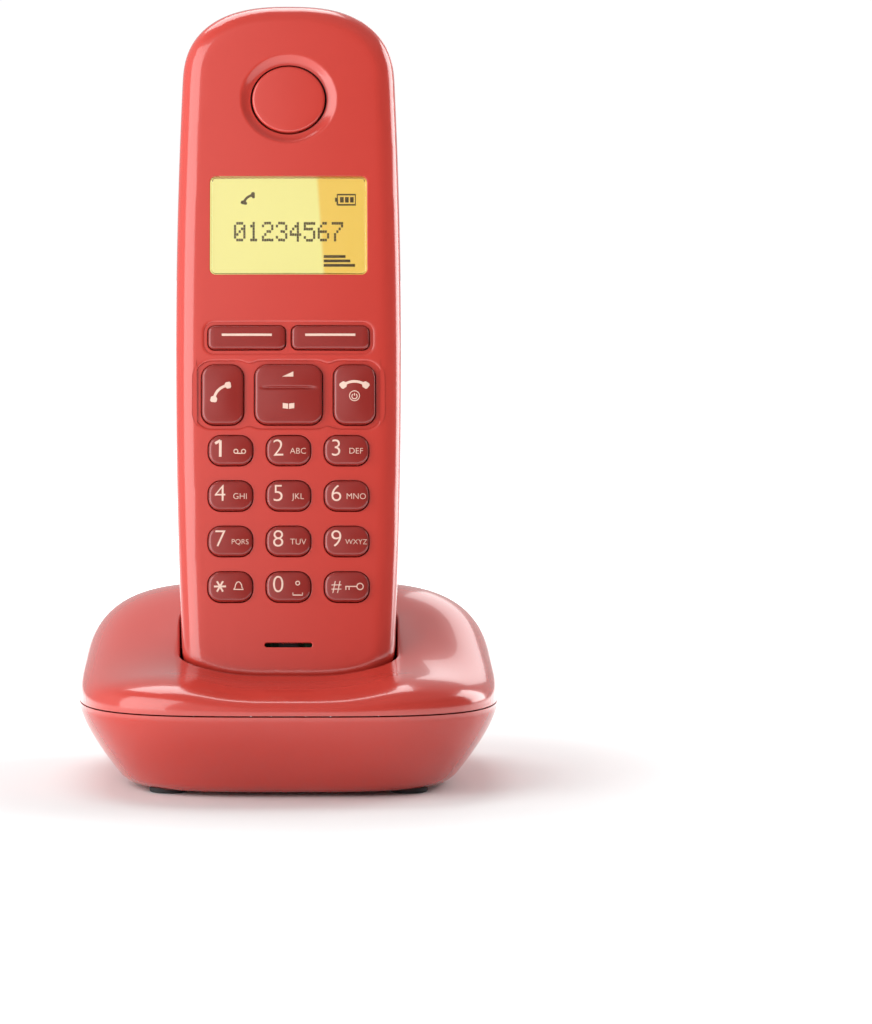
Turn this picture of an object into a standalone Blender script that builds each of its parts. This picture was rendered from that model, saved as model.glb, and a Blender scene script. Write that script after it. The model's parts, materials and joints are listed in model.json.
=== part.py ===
"""Cordless telephone: a reclined handset standing in its charging base.

Units are metres, +Z is up, and the front of the telephone faces -Y. The origin is on the surface that the base
stands on, under the middle of the base. Handset pieces are drawn in the handset's own frame: x across, y from the
front face into the case, z from the lower end up, and an empty leans that frame back into the cradle.
"""

from math import cos, exp, pi, radians, sin, tan

import bmesh
import bpy
from mathutils import Matrix

# Clearances
GAP = 0.0003                    # between two pieces that meet
CRADLE_GAP = 0.0005             # round the handset in its pocket

# Handset case
HANDSET_WIDTH = 0.0475
FRONT_SHELL_DEPTH = 0.0110      # front face to the joint line
HANDSET_WALL = 0.0018
FRONT_EDGE = 0.0045             # rounding round the front face
BACK_EDGE = 0.0080              # rounding round the back
TOP_CURVE = 0.0165              # height of the curved upper end
BOTTOM_CURVE = 0.0095
TOP_POWER = 2.55                # squareness of the curved ends
BOTTOM_POWER = 3.1
SIDE_BULGE = 0.085              # share of the half width lost half a length from the waist
RECLINE = radians(14.0)

# Front face, from the upper end down
EAR_CENTRE = 0.0211
EAR_RING_WIDTH = 0.0196
EAR_RING_HEIGHT = 0.0185
EAR_RING_SLOPE = 0.0021         # width of the sloped ring round the disc
EAR_SOUND_GAP = 0.0004
DISPLAY_TOP = 0.0381
DISPLAY_HEIGHT = 0.0206
DISPLAY_TO_SOFTKEYS = 0.0114
SOFTKEY_HEIGHT = 0.0050
SOFTKEYS_TO_RECESS = 0.0022
RECESS_HEIGHT = 0.0149
RECESS_TO_KEYPAD = 0.0013
KEY_HEIGHT = 0.0063
KEY_ROW_SPACE = 0.0033
KEY_ROWS = 4
KEYPAD_TO_MIC = 0.0090
MIC_TO_END = 0.0090

# Front face, from each side in
DISPLAY_MARGIN = 0.0075
SOFTKEY_MARGIN = 0.0069
SOFTKEY_SPACE = 0.0013
RECESS_MARGIN = 0.0042
RECESS_DEPTH = 0.0004
RECESS_RIM = 0.0014             # recess edge to the keys in it
FUNCTION_KEY_WIDTH = 0.0087
FUNCTION_KEY_SPACE = 0.0024
KEYPAD_MARGIN = 0.00705
KEY_COLUMN_SPACE = 0.0029
MIC_SLOT_WIDTH = 0.0099
MIC_SLOT_HEIGHT = 0.0010

# Keys, in depth
KEY_PROUD = 0.0008
SOFTKEY_PROUD = 0.0006
NAVIGATION_PROUD = 0.0011
KEY_FOOT = 0.0029               # front face to the back of a key
KEY_TRAVEL = 0.0007
KEY_CORNER = 0.0026
SOFTKEY_CORNER = 0.0013
KEY_BEVEL = 0.0005

# Layers behind the front face
WINDOW_THICKNESS = 0.0012
LCD_THICKNESS = 0.0018
LIGHT_GUIDE_THICKNESS = 0.0008
MAT_THICKNESS = 0.0005
DOME_SHEET_THICKNESS = 0.0003
BOARD_THICKNESS = 0.0012
BOARD_MARGIN = 0.0025           # case wall to the board's long edges
BOARD_ABOVE_END = 0.0050
EAR_SPEAKER_DIAMETER = 0.0170
EAR_SPEAKER_DEPTH = 0.0042
RINGER_DIAMETER = 0.0150
RINGER_DEPTH = 0.0040
RINGER_BELOW_TOP = 0.0401
RINGER_SLOT_WIDTH = 0.0080
RINGER_SLOT_HEIGHT = 0.0011
RINGER_SLOT_PITCH = 0.0028
MICROPHONE_DIAMETER = 0.0040
MICROPHONE_DEPTH = 0.0019

# Battery bay
CELL_DIAMETER = 0.0105
CELL_LENGTH = 0.0445
CELL_NUB_DIAMETER = 0.0038
CELL_NUB_HEIGHT = 0.0009
CELL_CLEARANCE = 0.0004
CELLS_TO_DOOR = 0.0021
BAY_FLOOR = 0.0010
BAY_WALL = 0.0014
SPRING_HEIGHT = 0.0042
SPRING_WIRE = 0.0006
SPRING_WIDE_RADIUS = 0.0038
SPRING_NARROW_RADIUS = 0.0023
TERMINAL_THICKNESS = 0.0005
TERMINAL_HEIGHT = 0.0075
SCREW_TO_BAY_TOP = 0.0037
DOOR_LEDGE = 0.0010
DOOR_TAB_WIDTH = 0.0050
DOOR_TAB_OFFSET = 0.0090        # middle of the handset to the middle of a tab
DOOR_TAB_REACH = 0.0016
DOOR_TAB_THICKNESS = 0.0013

# Screws
SCREW_RADIUS = 0.0012
SCREW_HEAD_RADIUS = 0.0022
SCREW_HEAD_HEIGHT = 0.0011
HANDSET_SCREW_LENGTH = 0.0080
HANDSET_SCREW_OFFSET = 0.0142
BASE_SCREW_LENGTH = 0.0110
BASE_SCREW_OFFSET = 0.0120
BOSS_WALL = 0.0013

# Charging parts
CHARGE_OFFSET = 0.0120          # middle of the handset to each strip
CHARGE_STRIP_WIDTH = 0.0050
CHARGE_STRIP_DEPTH = 0.0050
CHARGE_STRIP_THICKNESS = 0.0010
CHARGE_STRIP_INSET = 0.0005     # lower end of the handset to the strip
CHARGE_PIN_WIDTH = 0.0030
CHARGE_PIN_THICKNESS = 0.0014
CHARGE_TRAVEL = 0.0012

# Base
BASE_WALL = 0.0020
CRADLE_WALL = 0.0018
SHOULDER_WIDTH = 0.01795        # cradle wall to the side of the base
NOSE_LENGTH = 0.0210            # front of the base to the handset
CRADLE_TO_SCREW = 0.0142
SCREW_TO_SOCKET = 0.0065
SOCKET_SETBACK = 0.0045
FRONT_TOP = 0.0233
LIP_COVER = 0.0020              # how far the nose top stands above the handset's lower end
BACK_TOP = 0.0395
NOSE_FLAT = 0.0130              # front edge to where the top begins to climb
BACK_FLAT = 0.0170
LIP_SCOOP = 0.0030              # how far the lip dips in the middle
SCOOP_WIDTH = 0.0190
SCOOP_POWER = 4
PLAN_POWER = 3.5                # squareness of the base seen from above
CROWN_POWER = 5.0
CROWN_ROOT = 0.4
RIM_BAND = 0.0008               # upright band at the joint line
BOTTOM_TAPER = 0.22             # share of the width lost down to the underside
TAPER_POWER = 1.35
BOTTOM_FILLET = 0.0020
FOOT_DIAMETER = 0.0080
FOOT_PROUD = 0.0008
FOOT_RECESS = 0.0006
FOOT_INSET = 0.0095
BASE_BOARD_THICKNESS = 0.0016
BASE_BOARD_MARGIN = 0.0190
SOCKET_HEIGHT = 0.0085
SOCKET_DEPTH = 0.0120
SOCKET_COVER = 0.0044           # top of the sockets to the joint line
SOCKET_OFFSET = 0.0145
SOCKET_WALL = 0.0012
LINE_SOCKET_WIDTH = 0.0122
POWER_SOCKET_WIDTH = 0.0102
PAGE_KEY_WIDTH = 0.0080
PAGE_KEY_HEIGHT = 0.0050
PAGE_KEY_LENGTH = 0.0074
PAGE_KEY_PROUD = 0.0006
PAGE_KEY_TRAVEL = 0.0007
PAGE_SWITCH_SIZE = 0.0060
ANTENNA_WIRE = 0.0010
ANTENNA_LEG = 0.0060            # board edge to where the handset's aerial starts
ANTENNA_BEND = 0.0030
BASE_ANTENNA_RISE = 0.0042
BASE_ANTENNA_INSET = 0.0040
BASE_ANTENNA_AHEAD = 0.0070     # cradle to the aerial in front of it

# Derived places in the handset's frame
BOARD_Y = KEY_FOOT + KEY_TRAVEL + MAT_THICKNESS + DOME_SHEET_THICKNESS + 3 * GAP
BAY_FLOOR_Y = FRONT_SHELL_DEPTH + GAP + BAY_FLOOR
CELL_Y = BAY_FLOOR_Y + CELL_CLEARANCE + CELL_DIAMETER / 2
HANDSET_DEPTH = CELL_Y + CELL_DIAMETER / 2 + CELLS_TO_DOOR + HANDSET_WALL
KEY_PITCH = KEY_HEIGHT + KEY_ROW_SPACE
KEYPAD_HEIGHT = KEY_ROWS * KEY_HEIGHT + (KEY_ROWS - 1) * KEY_ROW_SPACE
HANDSET_LENGTH = (DISPLAY_TOP + DISPLAY_HEIGHT + DISPLAY_TO_SOFTKEYS + SOFTKEY_HEIGHT + SOFTKEYS_TO_RECESS
                  + RECESS_HEIGHT + RECESS_TO_KEYPAD + KEYPAD_HEIGHT + KEYPAD_TO_MIC + MIC_TO_END)
EAR_Z = HANDSET_LENGTH - EAR_CENTRE
DISPLAY_Z = HANDSET_LENGTH - DISPLAY_TOP - DISPLAY_HEIGHT / 2
SCREW_Z = DISPLAY_Z - DISPLAY_HEIGHT / 2 - DISPLAY_TO_SOFTKEYS / 2
SOFTKEY_Z = DISPLAY_Z - DISPLAY_HEIGHT / 2 - DISPLAY_TO_SOFTKEYS - SOFTKEY_HEIGHT / 2
RECESS_Z = SOFTKEY_Z - SOFTKEY_HEIGHT / 2 - SOFTKEYS_TO_RECESS - RECESS_HEIGHT / 2
KEYPAD_Z = RECESS_Z - RECESS_HEIGHT / 2 - RECESS_TO_KEYPAD - KEY_HEIGHT / 2
MIC_Z = MIC_TO_END
RINGER_Z = HANDSET_LENGTH - RINGER_BELOW_TOP
BAY_TOP = SCREW_Z + SCREW_TO_BAY_TOP
BAY_LENGTH = CELL_LENGTH + SPRING_HEIGHT + 2 * TERMINAL_THICKNESS + 5 * GAP
BAY_BOTTOM = BAY_TOP - BAY_LENGTH
BAY_HALF_WIDTH = HANDSET_SCREW_OFFSET + SCREW_HEAD_RADIUS + GAP
DOOR_HALF_WIDTH = BAY_HALF_WIDTH + DOOR_LEDGE
DOOR_BOTTOM = BAY_BOTTOM - DOOR_LEDGE
DOOR_TOP = BAY_TOP + DOOR_LEDGE
DOOR_INNER_Y = HANDSET_DEPTH - HANDSET_WALL
CHARGE_Y = FRONT_SHELL_DEPTH + GAP + HANDSET_WALL + CHARGE_STRIP_DEPTH / 2

# Derived sizes and places of the base
BASE_FLOOR_Z = FOOT_PROUD + BASE_WALL
BASE_BOARD_Z = BASE_FLOOR_Z + GAP
BASE_BOARD_TOP = BASE_BOARD_Z + BASE_BOARD_THICKNESS
SOCKET_Z = BASE_BOARD_TOP + GAP + SOCKET_HEIGHT / 2
PARTING_HEIGHT = BASE_BOARD_TOP + GAP + SOCKET_HEIGHT + SOCKET_COVER
POCKET_DEPTH = HANDSET_DEPTH + 2 * CRADLE_GAP
BASE_WIDTH = HANDSET_WIDTH + 2 * (CRADLE_GAP + CRADLE_WALL + SHOULDER_WIDTH)
BASE_DEPTH = (NOSE_LENGTH + POCKET_DEPTH / cos(RECLINE) + CRADLE_TO_SCREW + SCREW_TO_SOCKET
              + SOCKET_DEPTH + SOCKET_SETBACK)
HALF_WIDTH = BASE_WIDTH / 2
HALF_DEPTH = BASE_DEPTH / 2
CRADLE_Y = NOSE_LENGTH - HALF_DEPTH
CRADLE_Z = FRONT_TOP - LIP_COVER
CRADLE_RISE = (BACK_TOP - CRADLE_Z) / cos(RECLINE) + HANDSET_DEPTH * tan(RECLINE)   # pocket floor to its rim
BASE_SCREW_Y = CRADLE_Y + POCKET_DEPTH / cos(RECLINE) + CRADLE_TO_SCREW
SOCKET_FACE_Y = HALF_DEPTH - SOCKET_SETBACK
CHARGE_PIN_LENGTH = ((CRADLE_Z - CHARGE_Y * sin(RECLINE) - BASE_BOARD_TOP) / cos(RECLINE)
                     - CHARGE_TRAVEL - 2 * CHARGE_PIN_THICKNESS * sin(RECLINE) - 3 * GAP)
BOTTOM_SCALE = 1.0 - BOTTOM_TAPER

COLOURS = {
    "case_red": ((0.62, 0.07, 0.05), 0.28, 0.0),
    "key_red": ((0.24, 0.03, 0.025), 0.22, 0.0),
    "window_clear": ((0.85, 0.66, 0.22), 0.08, 0.0),
    "lcd_glass": ((0.80, 0.62, 0.18), 0.15, 0.0),
    "light_guide": ((0.90, 0.90, 0.86), 0.30, 0.0),
    "silicone_grey": ((0.30, 0.30, 0.31), 0.70, 0.0),
    "polyester_film": ((0.55, 0.60, 0.62), 0.35, 0.0),
    "board_green": ((0.02, 0.16, 0.06), 0.45, 0.0),
    "speaker_black": ((0.02, 0.02, 0.02), 0.55, 0.0),
    "cell_sleeve": ((0.10, 0.30, 0.14), 0.30, 0.0),
    "spring_steel": ((0.62, 0.62, 0.64), 0.28, 1.0),
    "gold_plate": ((0.83, 0.62, 0.26), 0.25, 1.0),
    "rubber_black": ((0.02, 0.02, 0.02), 0.85, 0.0),
    "socket_black": ((0.03, 0.03, 0.03), 0.50, 0.0),
}


def clear_scene():
    for old in list(bpy.data.objects):
        bpy.data.objects.remove(old, do_unlink=True)


def make_collection(name):
    collection = bpy.data.collections.new(name)
    bpy.context.scene.collection.children.link(collection)
    return collection


def make_material(name):
    colour, roughness, metallic = COLOURS[name]
    material = bpy.data.materials.new(name)
    material.use_nodes = True
    shader = material.node_tree.nodes["Principled BSDF"]
    shader.inputs["Base Color"].default_value = (*colour, 1.0)
    shader.inputs["Roughness"].default_value = roughness
    shader.inputs["Metallic"].default_value = metallic
    material.diffuse_color = (*colour, 1.0)
    return material


clear_scene()
parts = make_collection("cordless_phone")
guides = make_collection("construction")


def make_empty(name, location, rotation=(0.0, 0.0, 0.0)):
    empty = bpy.data.objects.new(name, None)
    empty.location = location
    empty.rotation_euler = rotation
    empty.empty_display_size = 0.01
    parts.objects.link(empty)
    return empty


handset_frame = make_empty("handset_frame", (0.0, CRADLE_Y, CRADLE_Z), (-RECLINE, 0.0, 0.0))


def to_object(name, bm, parent=None, origin=(0.0, 0.0, 0.0), collection=parts):
    mesh = bpy.data.meshes.new(name)
    bmesh.ops.recalc_face_normals(bm, faces=bm.faces)
    bm.to_mesh(mesh)
    bm.free()
    obj = bpy.data.objects.new(name, mesh)
    obj.location = origin
    obj.parent = parent
    collection.objects.link(obj)
    return obj


def add_part(name, bm, colour, parent=None, origin=(0.0, 0.0, 0.0), smooth=True):
    """A visible piece, with its own material and smooth shading where its faces meet gently."""
    obj = to_object(name, bm, parent, origin)
    material = make_material(colour)
    material.name = name + "_" + colour
    obj.data.materials.append(material)
    if smooth:
        obj.data.shade_smooth()
        obj.data.set_sharp_from_angle(angle=radians(35.0))
    return obj


def add_guide(name, bm, parent=None, origin=(0.0, 0.0, 0.0)):
    """A shape that cuts or joins others and is no piece itself."""
    guide = to_object(name, bm, parent, origin, guides)
    guide.hide_render = True
    guide.display_type = "WIRE"
    return guide


def add_boolean(obj, operation, other):
    modifier = obj.modifiers.new(operation.lower() + "_" + other.name, "BOOLEAN")
    modifier.operation = operation
    modifier.solver = "EXACT"
    modifier.object = other


def add_shell(obj, wall):
    modifier = obj.modifiers.new("wall", "SOLIDIFY")
    modifier.thickness = wall
    modifier.offset = -1.0
    modifier.use_even_offset = True


def add_bevel(obj, width, segments=1):
    modifier = obj.modifiers.new("edge", "BEVEL")
    modifier.width = width
    modifier.segments = segments
    modifier.limit_method = "ANGLE"
    modifier.angle_limit = radians(50.0)


def rounded_rectangle(width, height, radius, steps=3, centre=(0.0, 0.0)):
    """Corner arcs joined by straight sides, as (u, v) points."""
    points = []
    for corner in range(4):
        side_u = 1 if corner in (0, 3) else -1
        side_v = 1 if corner in (0, 1) else -1
        for step in range(steps + 1):
            angle = (corner + step / steps) * pi / 2
            u = centre[0] + side_u * (width / 2 - radius) + radius * cos(angle)
            v = centre[1] + side_v * (height / 2 - radius) + radius * sin(angle)
            points.append((u, v))
    return points


def ellipse(width, height, steps=28):
    return [(width / 2 * cos(2 * pi * i / steps), height / 2 * sin(2 * pi * i / steps)) for i in range(steps)]


def loft(bm, rings, close_first=True, close_last=True):
    """Skins rings of equally many points, and caps the ends that are closed."""
    rows = [[bm.verts.new(point) for point in ring] for ring in rings]
    count = len(rows[0])
    for lower, upper in zip(rows, rows[1:]):
        for i in range(count):
            j = (i + 1) % count
            bm.faces.new((lower[i], lower[j], upper[j], upper[i]))
    if close_first:
        bm.faces.new(rows[0])
    if close_last:
        bm.faces.new(rows[-1])


def face_prism(bm, outline, front, back, centre=(0.0, 0.0)):
    """Extrudes an (x, z) outline along y, as everything in the front face is."""
    loft(bm, [[(u + centre[0], y, v + centre[1]) for u, v in outline] for y in (front, back)])


def upright_prism(bm, outline, bottom, top, centre=(0.0, 0.0)):
    """Extrudes an (x, y) outline along z."""
    loft(bm, [[(u + centre[0], v + centre[1], z) for u, v in outline] for z in (bottom, top)])


def cylinder(bm, radius, start, end, centre, axis="Y", segments=20):
    """A round bar from start to end along the axis, about a centre given in the other two coordinates."""
    turn = Matrix.Rotation(pi / 2, 4, "X") if axis == "Y" else Matrix.Identity(4)
    middle = (start + end) / 2
    place = (centre[0], middle, centre[1]) if axis == "Y" else (centre[0], centre[1], middle)
    bmesh.ops.create_cone(bm, cap_ends=True, segments=segments, radius1=radius, radius2=radius,
                          depth=end - start, matrix=Matrix.Translation(place) @ turn)


def box(bm, low, high):
    size = [b - a for a, b in zip(low, high)]
    middle = [(a + b) / 2 for a, b in zip(low, high)]
    bmesh.ops.create_cube(bm, size=1.0, matrix=Matrix.Translation(middle) @ Matrix.Diagonal((*size, 1.0)))


def face_plate(name, colour, width, height, front, thickness, z, radius, x=0.0):
    """A flat piece behind the front face."""
    bm = bmesh.new()
    face_prism(bm, rounded_rectangle(width, height, radius), 0.0, thickness)
    return add_part(name, bm, colour, handset_frame, (x, front, z))


def turned_part(name, colour, profile, parent, origin, axis, steps=16):
    """Turns (radius, height) points, listed top to bottom down the outside, about local Z."""
    bm = bmesh.new()
    verts = [bm.verts.new((radius, 0.0, height)) for radius, height in profile]
    for a, b in zip(verts, verts[1:]):
        bm.edges.new((a, b))
    mesh = bpy.data.meshes.new(name)
    bm.to_mesh(mesh)
    bm.free()
    obj = bpy.data.objects.new(name, mesh)
    obj.location = origin
    obj.rotation_euler = axis
    obj.parent = parent
    parts.objects.link(obj)
    material = make_material(colour)
    material.name = name + "_" + colour
    mesh.materials.append(material)
    modifier = obj.modifiers.new("turn", "SCREW")
    modifier.steps = steps
    modifier.render_steps = steps
    modifier.use_merge_vertices = True
    modifier.merge_threshold = 0.00001
    return obj


def wire_part(name, colour, points, diameter, parent=None):
    curve = bpy.data.curves.new(name, "CURVE")
    curve.dimensions = "3D"
    curve.bevel_depth = diameter / 2
    curve.bevel_resolution = 2
    curve.use_fill_caps = True
    spline = curve.splines.new("POLY")
    spline.points.add(len(points) - 1)
    for knot, point in zip(spline.points, points):
        knot.co = (*point, 1.0)
    obj = bpy.data.objects.new(name, curve)
    obj.parent = parent
    parts.objects.link(obj)
    material = make_material(colour)
    material.name = name + "_" + colour
    curve.materials.append(material)
    return obj


# Handset case

def handset_half_width(z, inset):
    """Half width of the barrel-shaped case, drawn in by inset, at height z."""
    waist = HANDSET_LENGTH / 2
    bulge = 1.0 - SIDE_BULGE * ((z - waist) / waist) ** 2
    return HANDSET_WIDTH / 2 * bulge - inset


def handset_outline(inset=0.0, end_steps=8, side_steps=4):
    """The case seen from the front, anticlockwise from the right, drawn in evenly by inset."""
    top_height = TOP_CURVE - inset
    bottom_height = BOTTOM_CURVE - inset
    top_z = HANDSET_LENGTH - TOP_CURVE
    bottom_z = BOTTOM_CURVE
    right = []
    for i in range(end_steps):
        angle = pi / 2 * i / end_steps
        z = bottom_z - bottom_height * cos(angle) ** (2 / BOTTOM_POWER)
        right.append((handset_half_width(z, inset) * sin(angle) ** (2 / BOTTOM_POWER), z))
    for i in range(side_steps):
        z = bottom_z + (top_z - bottom_z) * i / side_steps
        right.append((handset_half_width(z, inset), z))
    for i in range(end_steps + 1):
        angle = pi / 2 * i / end_steps
        z = top_z + top_height * sin(angle) ** (2 / TOP_POWER)
        right.append((handset_half_width(z, inset) * max(0.0, cos(angle)) ** (2 / TOP_POWER), z))
    left = [(-x, z) for x, z in reversed(right[1:-1])]
    return right + left


def case_rings(joint_y, face_y, edge, steps):
    """Rings from the joint line to the rounded edge and up to the flat face."""
    inward = 1 if face_y < joint_y else -1
    rings = [[(x, joint_y, z) for x, z in handset_outline()]]
    for step in range(steps + 1):
        angle = pi / 2 * step / steps
        inset = edge * (1 - cos(angle))
        y = face_y + inward * edge * (1 - sin(angle))
        rings.append([(x, y, z) for x, z in handset_outline(inset)])
    return rings


def case_shell(name, joint_y, face_y, edge, steps=3):
    bm = bmesh.new()
    loft(bm, case_rings(joint_y, face_y, edge, steps), close_first=False)
    shell = add_part(name, bm, "case_red", handset_frame)
    add_shell(shell, HANDSET_WALL)
    return shell


def column_places(margin, space, count):
    """Middles and widths of equal keys that fill the face between two margins."""
    full = HANDSET_WIDTH - 2 * margin
    width = (full - (count - 1) * space) / count
    return [(i - (count - 1) / 2) * (width + space) for i in range(count)], width


SOFTKEY_XS, SOFTKEY_WIDTH = column_places(SOFTKEY_MARGIN, SOFTKEY_SPACE, 2)
KEY_XS, KEY_WIDTH = column_places(KEYPAD_MARGIN, KEY_COLUMN_SPACE, 3)
RECESS_WIDTH = HANDSET_WIDTH - 2 * RECESS_MARGIN
FUNCTION_KEY_X = RECESS_WIDTH / 2 - RECESS_RIM - FUNCTION_KEY_WIDTH / 2
NAVIGATION_WIDTH = 2 * (FUNCTION_KEY_X - FUNCTION_KEY_WIDTH / 2 - FUNCTION_KEY_SPACE)
FUNCTION_KEY_HEIGHT = RECESS_HEIGHT - 2 * RECESS_RIM + 2 * GAP
DISPLAY_WIDTH = HANDSET_WIDTH - 2 * DISPLAY_MARGIN
EAR_DISC_WIDTH = EAR_RING_WIDTH - 2 * EAR_RING_SLOPE
EAR_DISC_HEIGHT = EAR_RING_HEIGHT - 2 * EAR_RING_SLOPE

# Every key: name, x, z, width, height, corner radius, how far it stands proud
KEY_NAMES = ("key_1", "key_2", "key_3", "key_4", "key_5", "key_6", "key_7", "key_8", "key_9",
             "key_star", "key_0", "key_hash")
keys = [(key, KEY_XS[i % 3], KEYPAD_Z - (i // 3) * KEY_PITCH, KEY_WIDTH, KEY_HEIGHT, KEY_CORNER, KEY_PROUD)
        for i, key in enumerate(KEY_NAMES)]
for key, x in zip(("softkey_left", "softkey_right"), SOFTKEY_XS):
    keys.append((key, x, SOFTKEY_Z, SOFTKEY_WIDTH, SOFTKEY_HEIGHT, SOFTKEY_CORNER, SOFTKEY_PROUD))
for key, x in (("talk_key", -FUNCTION_KEY_X), ("end_key", FUNCTION_KEY_X)):
    keys.append((key, x, RECESS_Z, FUNCTION_KEY_WIDTH, FUNCTION_KEY_HEIGHT, KEY_CORNER, KEY_PROUD))
keys.append(("navigation_key", 0.0, RECESS_Z, NAVIGATION_WIDTH, FUNCTION_KEY_HEIGHT, KEY_CORNER, NAVIGATION_PROUD))


def build_front_shell():
    shell = case_shell("handset_front_shell", FRONT_SHELL_DEPTH - GAP / 2, 0.0, FRONT_EDGE, 4)

    posts = bmesh.new()
    for side in (-1, 1):
        cylinder(posts, SCREW_RADIUS + GAP + BOSS_WALL, HANDSET_WALL / 2, FRONT_SHELL_DEPTH - GAP / 2,
                 (side * HANDSET_SCREW_OFFSET, SCREW_Z), segments=16)
    add_boolean(shell, "UNION", add_guide("front_posts", posts, handset_frame))

    recess = bmesh.new()
    face_prism(recess, rounded_rectangle(RECESS_WIDTH, RECESS_HEIGHT, KEY_CORNER + RECESS_RIM), -RECESS_DEPTH,
               RECESS_DEPTH, (0.0, RECESS_Z))
    ring = ellipse(EAR_RING_WIDTH, EAR_RING_HEIGHT)
    well = ellipse(EAR_DISC_WIDTH + 2 * EAR_SOUND_GAP, EAR_DISC_HEIGHT + 2 * EAR_SOUND_GAP)
    levels = ((ring, -HANDSET_WALL), (ring, 0.0), (well, HANDSET_WALL * 0.6), (well, 2 * HANDSET_WALL))
    loft(recess, [[(u, y, v + EAR_Z) for u, v in outline] for outline, y in levels])
    add_boolean(shell, "DIFFERENCE", add_guide("face_recesses", recess, handset_frame))

    holes = bmesh.new()
    through = (-HANDSET_WALL, 1.5 * HANDSET_WALL)
    window = rounded_rectangle(DISPLAY_WIDTH + 2 * GAP, DISPLAY_HEIGHT + 2 * GAP, 0.0012, 2)
    face_prism(holes, window, *through, (0.0, DISPLAY_Z))
    for _, x, z, width, height, corner, _ in keys:
        outline = rounded_rectangle(width + 2 * GAP, height + 2 * GAP, corner + GAP)
        face_prism(holes, outline, *through, (x, z))
    slot = rounded_rectangle(MIC_SLOT_WIDTH, MIC_SLOT_HEIGHT, MIC_SLOT_HEIGHT * 0.45, 2)
    face_prism(holes, slot, *through, (0.0, MIC_Z))
    for side in (-1, 1):
        cylinder(holes, SCREW_RADIUS + GAP, 1.4 * HANDSET_WALL, 2 * FRONT_SHELL_DEPTH,
                 (side * HANDSET_SCREW_OFFSET, SCREW_Z), segments=12)
    add_boolean(shell, "DIFFERENCE", add_guide("face_holes", holes, handset_frame))


def door_outline(inset):
    width = 2 * (DOOR_HALF_WIDTH - inset)
    return rounded_rectangle(width, DOOR_TOP - DOOR_BOTTOM - 2 * inset, 0.003 - inset, 3)


DOOR_MIDDLE = (0.0, (DOOR_TOP + DOOR_BOTTOM) / 2)
BAY_MIDDLE = (0.0, (BAY_TOP + BAY_BOTTOM) / 2)


def build_rear_shell():
    shell = case_shell("handset_rear_shell", FRONT_SHELL_DEPTH + GAP / 2, HANDSET_DEPTH, BACK_EDGE, 4)

    tray = bmesh.new()
    outline = rounded_rectangle(2 * (DOOR_HALF_WIDTH + BAY_WALL), DOOR_TOP - DOOR_BOTTOM + 2 * BAY_WALL, 0.003)
    face_prism(tray, outline, FRONT_SHELL_DEPTH + GAP, DOOR_INNER_Y + HANDSET_WALL * 0.1, DOOR_MIDDLE)
    add_boolean(shell, "UNION", add_guide("battery_tray", tray, handset_frame))

    bay = bmesh.new()
    bay_outline = rounded_rectangle(2 * BAY_HALF_WIDTH, BAY_LENGTH, 0.001, 2)
    face_prism(bay, bay_outline, BAY_FLOOR_Y, DOOR_INNER_Y, BAY_MIDDLE)
    add_boolean(shell, "DIFFERENCE", add_guide("battery_bay", bay, handset_frame))

    opening = bmesh.new()
    face_prism(opening, door_outline(0.0), DOOR_INNER_Y - GAP, HANDSET_DEPTH + HANDSET_WALL, DOOR_MIDDLE)
    add_boolean(shell, "DIFFERENCE", add_guide("door_opening", opening, handset_frame))

    holes = bmesh.new()
    tab_space = 3 * GAP
    for side in (-1, 1):
        x = side * DOOR_TAB_OFFSET
        half = DOOR_TAB_WIDTH / 2 + GAP
        box(holes, (x - half, DOOR_INNER_Y - GAP - DOOR_TAB_THICKNESS - tab_space, DOOR_BOTTOM - 3 * BAY_WALL),
            (x + half, DOOR_INNER_Y - GAP - 0.00005, BAY_BOTTOM + DOOR_LEDGE))
        cylinder(holes, SCREW_RADIUS + GAP, FRONT_SHELL_DEPTH - BAY_FLOOR, BAY_FLOOR_Y + BAY_FLOOR,
                 (side * HANDSET_SCREW_OFFSET, SCREW_Z), segments=12)
        strip = (CHARGE_STRIP_WIDTH / 2 + GAP, CHARGE_STRIP_DEPTH / 2 + GAP)
        box(holes, (side * CHARGE_OFFSET - strip[0], CHARGE_Y - strip[1], -HANDSET_WALL),
            (side * CHARGE_OFFSET + strip[0], CHARGE_Y + strip[1], 3 * HANDSET_WALL))
    for row in (-1, 0, 1):
        slot = rounded_rectangle(RINGER_SLOT_WIDTH, RINGER_SLOT_HEIGHT, RINGER_SLOT_HEIGHT * 0.45, 2,
                                 (0.0, RINGER_Z + row * RINGER_SLOT_PITCH))
        face_prism(holes, slot, HANDSET_DEPTH - 1.5 * HANDSET_WALL, HANDSET_DEPTH + HANDSET_WALL)
    add_boolean(shell, "DIFFERENCE", add_guide("rear_holes", holes, handset_frame))


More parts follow.
